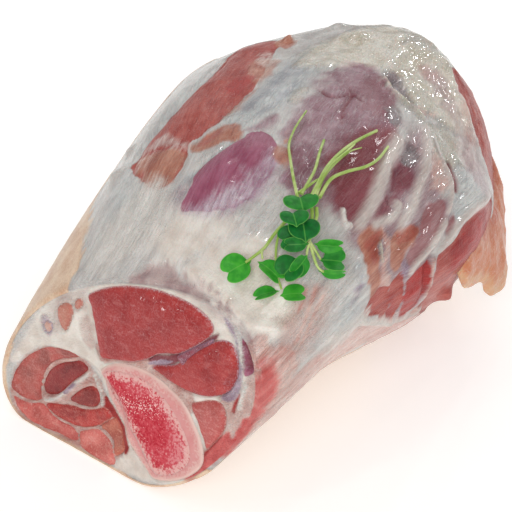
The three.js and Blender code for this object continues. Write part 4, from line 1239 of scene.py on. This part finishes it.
def hairlines(tree, value, width):
    """Thin lines that wander where the value passes a half, 1 in their middle."""
    off = node(tree, "ShaderNodeMath", (value, 0.5), operation="SUBTRACT")
    off = node(tree, "ShaderNodeMath", (off,), operation="ABSOLUTE")
    return node(tree, "ShaderNodeMapRange", (off, width, width / 5, 0.0, 1.0), **SOFT)


def weighted(tree, *parts):
    """The sum of values, each with its own weight."""
    total = 0.0
    for value, weight in parts:
        total = node(tree, "ShaderNodeMath", (value, weight, total), operation="MULTIPLY_ADD")
    return total


def layered(tree, colour, *layers):
    """A colour with others laid over it. Each has a value, the two numbers between which it comes to show,
    how much of it shows at most, and the colour."""
    colour = linear(colour) if isinstance(colour, str) else colour
    for value, low, high, most, over in layers:
        share = node(tree, "ShaderNodeMapRange", (value, low, high, 0.0, most), **SOFT)
        over = linear(over) if isinstance(over, str) else over
        colour = node(tree, "ShaderNodeMix", {0: share, 6: colour, 7: over}, 2, data_type="RGBA")
    return colour


def finish_material(tree, colour, height, distance, inputs):
    """Joins a colour and a bump of this many millimetres to the shader, whose other inputs are given."""
    bump = node(tree, "ShaderNodeBump", {"Height": height, "Distance": distance * MM})
    shader = node(tree, "ShaderNodeBsdfPrincipled", {"Base Color": colour, "Normal": bump, **inputs})
    node(tree, "ShaderNodeOutputMaterial", {"Surface": shader}, out=None)


# Raw meat: soft and half clear, under a thin film of juice.
WET = {"Roughness": 0.36, "Coat Weight": 0.35, "Coat Roughness": 0.09, "Coat IOR": 1.6,
       "Specular IOR Level": 0.14,
       "Subsurface Weight": 0.15, "Subsurface Radius": (1, 0.35, 0.25), "Subsurface Scale": 0.003}

# The tissues over the leg: the bare fascia, then those of PATCHES in their order. Each has a darker and a
# paler colour, which a pattern mixes; contrast, how strongly; fray, how torn its edges are; edge, how soft
# they are; gloss, how wet it is; relief, how rough; threads, wrinkles and film, how clearly pale hairs,
# creases darkened with painted shade, and a pale skin run over it.
PLAIN = dict(pattern="fibres", contrast=1.1, fray=0.8, edge=0.6, gloss=0.45, relief=0.9, threads=0.4,
             wrinkles=0.1, film=0.2)
LEG_LAYERS = {
    "fascia": dict(dark="#A8A1A0", pale="#DCD8D0", contrast=0.8, film=0.35),
    "rind": dict(dark="#C8A083", pale="#E6CDB2", pattern="mottle", gloss=0.1, relief=0.4, threads=0,
                 wrinkles=0, film=0.1),
    "blue": dict(dark="#9A9EA2", pale="#D4D6D0", threads=0.7, edge=1.0, relief=0.5),
    "slate": dict(dark="#7C7A84", pale="#ACAEB2", threads=0.6, edge=1.0, film=0.3, relief=0.5),
    "haze": dict(dark="#826066", pale="#B8A0A2", fray=0.5, gloss=0.5, relief=0.8, threads=0.4, edge=1.0,
                 film=0.15),
    "cream": dict(dark="#CEC0A8", pale="#F6F0E4", pattern="mottle", gloss=0.8, relief=3.2, wrinkles=0.1,
                  film=0.1, edge=0.9),
    "fat": dict(dark="#CCBEB2", pale="#E8E0D6", pattern="smooth", gloss=0.5, relief=0.5, threads=0.1,
                film=0.1, wrinkles=0, edge=1.0),
    "mauve_fat": dict(dark="#A08484", pale="#C8B2AC", pattern="smooth", gloss=0.3, threads=0.1, edge=0.9,
                      film=0.2),
    "pink": dict(dark="#B87A70", pale="#E4C4B8", pattern="cloud", contrast=1.2, threads=0.5, edge=0.9,
                 gloss=0.6, relief=1.2),
    "veil": dict(dark="#7C4854", pale="#B28E98", pattern="cloud", contrast=0.9, gloss=0.35, relief=1.0,
                 threads=0.4, wrinkles=0.3, edge=1.0, film=0.2),
    "violet": dict(dark="#7C2844", pale="#AE6A82", pattern="cloud", contrast=0.9, fray=0.15, edge=0.35,
                   gloss=0.35, relief=0.5, threads=0.15, wrinkles=0, film=0.06),
    # Painted highlight: lilac-white where light catches the spindle's lower side, over fine threads and
    # wrinkles.
    "painted_sheen": dict(dark="#96687E", pale="#D2C2CC", contrast=1.2, fray=1.0, edge=1.0, gloss=0.6, relief=0.8,
                  threads=0.5, wrinkles=0.2, film=0.2),
    "dusk": dict(dark="#84484A", pale="#A87A7C", pattern="cloud", fray=0.4, gloss=0.4, relief=0.5,
                 threads=0.2, film=0.1),
    "deep": dict(dark="#6C242E", pale="#965058", pattern="cloud", contrast=0.8, gloss=0.2, relief=1.0,
                 threads=0.2, wrinkles=0.05, edge=1.0, film=0.08),
    "meat": dict(dark="#8E2A26", pale="#BE6256", fray=0.3, edge=0.35, gloss=0.2, threads=0.2, wrinkles=0,
                 film=0.1),
    "stain": dict(dark="#924A38", pale="#C88E76", pattern="cloud", contrast=1.2, fray=0.4, threads=0.15,
                  film=0.1, edge=0.8),
    "bright": dict(dark="#84181A", pale="#B43A36", pattern="cloud", fray=0.5, gloss=0.2, threads=0.1,
                   wrinkles=0, film=0.04, edge=0.7),
    "silver": dict(dark="#C0B8B0", pale="#EAE4DC", gloss=0.5, threads=0.4, edge=0.8),
    "wet": dict(dark="#7E666A", pale="#BEB0B2", pattern="mottle", gloss=1.0, relief=3.2, wrinkles=0.2,
                film=0.2, edge=1.0),
    "cord": dict(dark="#B2A29C", pale="#DAD0C8", fray=0.3, gloss=0.6, relief=0.6, threads=0.3, edge=0.8,
                 film=0.1),
    "lilac": dict(dark="#7E5E72", pale="#BCA8B6", pattern="cloud", contrast=1.6, gloss=0.4, film=0.1),
    "blood": dict(dark="#AE2428", pale="#D8706A", pattern="cloud", fray=1.2, edge=1.0, gloss=0.5,
                  threads=0.1, film=0.05),
}
# Pale threads, the dark of painted shade in the creases, and a pale skin.
THREAD, CREASE_SHADE, FILM = "#E4E0DC", "#4A2A34", "#DAD6D6"  # colours of what runs over them


def leg_tissues():
    # Membrane, fat and muscle, skinned and wet: fibres and pale threads along the leg, under a film of
    # juice. Single fibres are under 0.1 mm across, so bundles of them are drawn, 0.6 mm across, to show.
    made, tree, place = new_material("skinned_leg_tissue")
    grain = node(tree, "ShaderNodeAttribute", out="Vector", attribute_name="grain")
    fibre, broad = specks(tree, grain, (4.5, 0.6, 0.6), 4), specks(tree, grain, (20, 4, 4), 3)
    grit, blotch = specks(tree, place, (0.7, 0.7, 0.7), 3), specks(tree, place, (7, 7, 7), 3)
    patterns = {
        "fibres": weighted(tree, (fibre, 0.35), (broad, 0.4), (blotch, 0.25)),
        "mottle": weighted(tree, (grit, 0.45), (blotch, 0.55)),
        "cloud": weighted(tree, (fibre, 0.3), (broad, 0.4), (blotch, 0.3)),
        "smooth": weighted(tree, (blotch, 0.85), (grit, 0.15)),
    }
    hairs = node(tree, "ShaderNodeMath", (hairlines(tree, specks(tree, grain, (18, 1.6, 1.6), 3), 0.03),
                                          hairlines(tree, specks(tree, place, (6, 6, 6), 4), 0.012)),
                 operation="MAXIMUM")
    flat = node(tree, "ShaderNodeMapRange", (net(tree, grain, (16, 5, 5)), 0.0, 0.16, 0.0, 1.0), **SOFT)
    ragged = weighted(tree, (fibre, 0.6), (grit, 0.4), (-0.5, 1.0))
    colour, finish, marks = None, None, None
    for name, own in LEG_LAYERS.items():
        own = {**PLAIN, **own}
        width = 0.24 / own["contrast"]
        pattern = patterns[own["pattern"]]
        tone = layered(tree, own["dark"], (pattern, 0.5 - width, 0.5 + width, 1.0, own["pale"]))
        own_finish = (own["gloss"], own["relief"], 0, 1)
        own_marks = (own["threads"], own["wrinkles"], own["film"], 1)
        if colour is None:
            colour, finish, marks = tone, own_finish, own_marks
            continue
        cover = node(tree, "ShaderNodeAttribute", out="Fac", attribute_name=name)
        spare = node(tree, "ShaderNodeMath", (1.0, cover), operation="SUBTRACT")
        room = node(tree, "ShaderNodeMath", (cover, spare), operation="MULTIPLY")
        shift = node(tree, "ShaderNodeMath", (room, ragged), operation="MULTIPLY")
        shown = weighted(tree, (shift, 6 * own["fray"]), (cover, 1.0))
        half = own["edge"] / 2
        shown = node(tree, "ShaderNodeMapRange", (shown, 0.5 - half, 0.5 + half, 0.0, 1.0))
        colour = node(tree, "ShaderNodeMix", {0: shown, 6: colour, 7: tone}, 2, data_type="RGBA")
        finish = node(tree, "ShaderNodeMix", {0: shown, 6: finish, 7: own_finish}, 2, data_type="RGBA")
        marks = node(tree, "ShaderNodeMix", {0: shown, 6: marks, 7: own_marks}, 2, data_type="RGBA")
    finish = node(tree, "ShaderNodeSeparateColor", (finish,), None).outputs
    marks = node(tree, "ShaderNodeSeparateColor", (marks,), None).outputs
    hairs = node(tree, "ShaderNodeMath", (hairs, marks[0]), operation="MULTIPLY")
    # The creases of the net, darkened with painted shade in the colour and sunk in the bump.
    shaded_crease = weighted(tree, (flat, -1.0), (1.0, 1.0))
    shaded_crease = node(tree, "ShaderNodeMath", (shaded_crease, marks[1]), operation="MULTIPLY")
    film = weighted(tree, (broad, 0.45), (fibre, 0.3), (blotch, 0.25))
    film = node(tree, "ShaderNodeMapRange", (film, 0.42, 0.6, 0.0, 1.0), **SOFT)
    film = node(tree, "ShaderNodeMath", (film, marks[2]), operation="MULTIPLY")
    colour = layered(tree, colour, (film, 0, 1, 1, FILM), (shaded_crease, 0, 1, 0.8, CREASE_SHADE),
                     (hairs, 0, 1, 0.5, THREAD))
    relief = weighted(tree, (fibre, 0.5), (grit, 0.45), (broad, 0.8))
    relief = node(tree, "ShaderNodeMath", (relief, finish[1]), operation="MULTIPLY")
    height = weighted(tree, (relief, 1.0), (shaded_crease, -0.8), (hairs, 0.3))
    finish_material(tree, colour, height, 1.0, {**WET, "Coat Weight": finish[0]})
    return made


def cut_muscle(name, colours):
    # Muscle sawn across the grain: close wet fibres in bundles, brighter toward the rim, with pale threads
    # wandering between them, in a thin silvery sheath.
    made, tree, place = new_material(name)
    middle, dark, pale, sheath = colours
    grain, blotch = specks(tree, place, (0.6, 0.6, 0.6), 3), specks(tree, place, (7, 7, 7), 3)
    bundles = net(tree, place, (1.2, 1.2, 2.0))
    streaks = specks(tree, place, (4, 4, 0.9), 3)
    edge = node(tree, "ShaderNodeAttribute", out="Fac", attribute_name="edge")
    inside = weighted(tree, (edge, 1.0), (blotch, 6.0), (-3.0, 1.0))
    edge = weighted(tree, (edge, 1.0), (grain, 1.6), (-0.8, 1.0))
    colour = layered(
        tree, middle,
        (blotch, 0.4, 0.65, 1.0, dark),
        (inside, 3.5, 0.0, 0.35, "#C03C38"),
        (bundles, 0.1, 0.02, 0.1, pale),
        (streaks, 0.52, 0.72, 0.35, pale),
        (grain, 0.5, 0.72, 0.4, pale),
        (grain, 0.46, 0.3, 0.4, dark),
        (hairlines(tree, specks(tree, place, (5, 5, 5), 3), 0.01), 0.0, 1.0, 0.2, sheath),
        (edge, 0.8, 0.2, 1.0, sheath),
    )
    finish_material(tree, colour, weighted(tree, (grain, 0.8), (bundles, 0.4)), 0.4, WET)
    return made


def sawn_bone():
    # Dense bone under a saw: smooth, pale and slightly pink, with fine parallel scratches.
    made, tree, place = new_material("sawn_shin_bone")
    middle, dark, pale, _ = CUTS["shin_bone"]["colours"]
    edge = node(tree, "ShaderNodeAttribute", out="Fac", attribute_name="edge")
    grain = specks(tree, place, (0.9, 0.9, 0.9), 2)
    soaked = weighted(tree, (edge, 1.0), (grain, 8.0), (-4.0, 1.0))
    colour = layered(tree, middle, (specks(tree, place, (5, 5, 5), 3), 0.3, 0.7, 1.0, dark),
                     (edge, 1.4, 0.3, 1.0, pale), (soaked, 1.6, 3.0, 0.5, "#CC7478"))
    finish_material(tree, colour, specks(tree, place, (8, 8, 0.35), 2), 0.15, {**WET, "Coat Weight": 0.2})
    return made


def spongy_marrow():
    # Spongy bone full of marrow: red jelly shows in the pores of a pale web, densely in places and thinly
    # in others, with white specks that are painted more thickly along a line as small glints.
    made, tree, place = new_material("spongy_marrow")
    middle, dark, pale, rim = CUTS["bone_core"]["colours"]
    red, grit, edge = (node(tree, "ShaderNodeAttribute", out="Fac", attribute_name=name)
                       for name in ("red", "grit", "edge"))
    grain, fine = specks(tree, place, (0.9, 0.9, 0.9), 2), specks(tree, place, (0.6, 0.6, 0.6), 2)
    speckle = weighted(tree, (grain, 0.8), (specks(tree, place, (2.2, 2.2, 2.2), 3), 0.5), (-0.15, 1.0))
    pores = weighted(tree, (speckle, 1.0), (red, 0.3), (-0.15, 1.0))
    colour = layered(
        tree, pale,
        (pores, 0.33, 0.53, 1.0, middle),
        (pores, 0.56, 0.74, 1.0, dark),
        # White specks of the web. Those along the glint line are painted glints.
        (weighted(tree, (fine, 1.0), (grit, 0.14)), 0.68, 0.74, 0.9, "#EEC8C4"),
        (weighted(tree, (edge, 1.0), (speckle, 12.0), (-6.0, 1.0)), 3.4, 0.0, 1.0, rim),
    )
    finish_material(tree, colour, speckle, 0.4, {**WET, "Coat Weight": 0.15})
    return made


def flap_skin():
    # Fatty skin seen from its cut edge: waxy, half clear, tan with orange where it is thin.
    made, tree, place = new_material("fatty_skin_flap")
    cloud, fine = specks(tree, place, (9, 7, 7), 4), specks(tree, place, (1.5, 1.5, 1.5), 3)
    down = node(tree, "ShaderNodeAttribute", out="Fac", attribute_name="down")
    thin = weighted(tree, (down, 1.0), (cloud, 0.5), (-0.25, 1.0))
    colour = layered(tree, "#B86A54", (thin, 0.2, 0.5, 1.0, "#C27650"), (thin, 0.7, 0.95, 1.0, "#D0A27C"),
                     (cloud, 0.5, 0.7, 0.6, "#CA9480"), (fine, 0.55, 0.75, 0.3, "#E0C8B8"))
    uneven = weighted(tree, (fine, 1.0), (cloud, 1.0))
    finish_material(tree, colour, uneven, 0.8, {**WET, "Subsurface Weight": 0.4})
    return made


def leaf_green():
    # Young leaf: thin and satin, with a paler midrib and rim. Its green is painted light: deep green for a
    # leaf that faces away, fresh for one that light comes through.
    made, tree, place = new_material("sprout_leaf")
    cloud = specks(tree, place, (2.5, 2.5, 2.5), 3)
    bright, across, rim = (node(tree, "ShaderNodeAttribute", out="Fac", attribute_name=name)
                           for name in ("bright", "across", "rim"))
    lit_green = layered(tree, "#2E9426", (cloud, 0.3, 0.7, 1.0, "#48AC30"))
    across = node(tree, "ShaderNodeMath", (across,), operation="ABSOLUTE")
    colour = layered(tree, "#0B5A22", (cloud, 0.3, 0.7, 1.0, "#12742C"))
    colour = node(tree, "ShaderNodeMix", {0: bright, 6: colour, 7: lit_green}, 2, data_type="RGBA")
    colour = layered(tree, colour, (across, 0.035, 0.0, 0.5, "#6FB850"), (rim, 0.93, 1.0, 0.7, "#7CC255"))
    finish_material(tree, colour, cloud, 0.3, {
        "Roughness": 0.4, "Specular IOR Level": 0.2, "Subsurface Weight": 0.1,
        "Subsurface Radius": (0.3, 1, 0.2), "Subsurface Scale": 0.001})
    return made


def stem_green():
    # Sprout stem: juicy, half clear, pale yellow green.
    made, tree, place = new_material("sprout_stem")
    cloud = specks(tree, place, (9, 3, 3), 3)
    colour = layered(tree, "#93B04E", (cloud, 0.3, 0.7, 1.0, "#C2D28A"))
    finish_material(tree, colour, cloud, 0.1, {
        "Roughness": 0.35, "Specular IOR Level": 0.3, "Subsurface Weight": 0.3,
        "Subsurface Radius": (0.6, 1, 0.3), "Subsurface Scale": 0.001})
    return made


# --- the shank ------------------------------------------------------------------------------------------


def mark_marrow(mesh):
    """Gives the bone's core its attributes: how red its marrow is, and how thickly white specks, painted as
    glints, lie there.
    """
    place = np.empty(len(mesh.vertices) * 3)
    mesh.vertices.foreach_get("co", place)
    y, z = (place.reshape(-1, 3) / MM - ORIGIN)[:, 1:].T
    red = sum(
        share * np.exp(-((y - at_y) ** 2 + (z - at_z) ** 2) / size**2)
        for at_y, at_z, size, share in MARROW_SPOTS
    )
    off_line = z - GLINT_LINE["z"] + GLINT_LINE["fall"] * (y - GLINT_LINE["y"])
    grit = np.exp(-((off_line / GLINT_LINE["reach"]) ** 2))
    for key, value in (("red", np.clip(red, 0, 1)), ("grit", grit)):
        mesh.attributes.new(key, "FLOAT", "POINT").data.foreach_set("value", value.astype(np.float32))


add_piece("leg_flesh", flesh_mesh(), leg_tissues(), ["flesh"])
for name, cut in CUTS.items():
    mesh = cut_mesh(name, cut)
    if name == "bone_core":
        mark_marrow(mesh)
        surface = spongy_marrow()
    elif name == "shin_bone":
        surface = sawn_bone()
    else:
        surface = cut_muscle(name + "_cut", cut["colours"])
    add_piece("cut_" + name, mesh, surface, [cut["node"]] if cut["node"] else ())
add_piece("flap", flap_mesh(), flap_skin(), ["skin_flap"])
add_piece("sprout_leaves", leaves_mesh(), leaf_green(), ["sprouts"])
stem_surface = stem_green()
add_piece("sprout_stems", stems_mesh(stem_surface), stem_surface)


# --- studio ---------------------------------------------------------------------------------------------

LOOK_TURN, LOOK_DOWN = math.radians(36.15), math.radians(37.35)
LOOK_DISTANCE = 0.56
LOOK_AT = (ORIGIN + (104.1, 22.4, 25.2)) * MM
# Soft lamps: place, width (m) and power (W). The key and two panels.
SOFT_LAMPS = [((-0.9, -0.5, 0.7), 0.8, 6), ((0.62, 0.38, 0.5), 0.4, 0.45), ((0.14, 0.4, 0.8), 0.2, 0.3)]
# Small lamps, all alike, for glints.
SPARKS = [(0.64, 0.1, 0.75), (0.7, -0.5, 0.5), (-0.2, 0.1, 1.0), (0.1, -0.8, 0.7), (-0.85, 0.5, 0.22),
          (0.85, -0.05, 0.45), (0.9, 0.2, 0.3), (0.15, 0.5, 0.85), (0.6, -0.8, 0.2), (-0.45, 0.2, 0.9),
          (0.8, 0.1, 0.5), (0.95, -0.15, 0.35), (0.75, -0.15, 0.6), (0.75, 0.25, 0.6)]
SPARK_WIDTH, SPARK_POWER = 0.035, 0.18
SKY_STRENGTH = 0.5
FLOOR_REACH = 4  # from its middle to each side (m)
LENS, SENSOR = 100, 36


def area_light(name, place, width, power):
    """A square lamp turned toward the leg."""
    lamp = bpy.data.lights.new(name, "AREA")
    lamp.size = width
    lamp.energy = power
    holder = bpy.data.objects.new(name, lamp)
    holder.location = place
    holder.rotation_euler = (Vector(LOOK_AT) - Vector(place)).to_track_quat("-Z", "Y").to_euler()
    bpy.context.scene.collection.objects.link(holder)


def studio():
    """The floor, the lamps, the sky and the camera."""
    floor = bpy.data.meshes.new("floor")
    corners = [(x * FLOOR_REACH, y * FLOOR_REACH, 0) for x, y in ((-1, -1), (1, -1), (1, 1), (-1, 1))]
    floor.from_pydata(corners, [], [(0, 1, 2, 3)])
    ground = bpy.data.objects.new("floor", floor)
    bpy.context.scene.collection.objects.link(ground)
    made, tree, place = new_material("pale_studio_floor")
    # Plain matt paper, with only a trace of unevenness, and lit a little from within to stay pale.
    cloud = specks(tree, place, (60, 60, 60), 2)
    finish_material(tree, layered(tree, "#F4F3F1", (cloud, 0.0, 1.0, 1.0, "#F7F6F4")), cloud, 0.1, {
        "Roughness": 0.8, "Emission Color": linear("#FFFFFF"), "Emission Strength": 0.3})
    floor.materials.append(made)

    for number, lamp in enumerate(SOFT_LAMPS + [(place, SPARK_WIDTH, SPARK_POWER) for place in SPARKS]):
        area_light("lamp_%d" % number, *lamp)
    world = bpy.data.worlds.new("pale_studio")
    world.use_nodes = True
    world.node_tree.nodes["Background"].inputs[0].default_value = linear("#FFFFFF")
    world.node_tree.nodes["Background"].inputs[1].default_value = SKY_STRENGTH
    scene = bpy.context.scene
    scene.world = world
    scene.view_settings.view_transform = "Standard"

    lens = bpy.data.cameras.new("camera")
    lens.lens, lens.sensor_width = LENS, SENSOR
    lens.clip_start, lens.clip_end = 0.01, 20
    camera = bpy.data.objects.new("camera", lens)
    toward = Vector((math.cos(LOOK_TURN) * math.cos(LOOK_DOWN), math.sin(LOOK_TURN) * math.cos(LOOK_DOWN),
                     -math.sin(LOOK_DOWN)))
    camera.location = Vector(LOOK_AT) - toward * LOOK_DISTANCE
    camera.rotation_euler = toward.to_track_quat("-Z", "Y").to_euler()
    scene.collection.objects.link(camera)
    scene.camera = camera


studio()
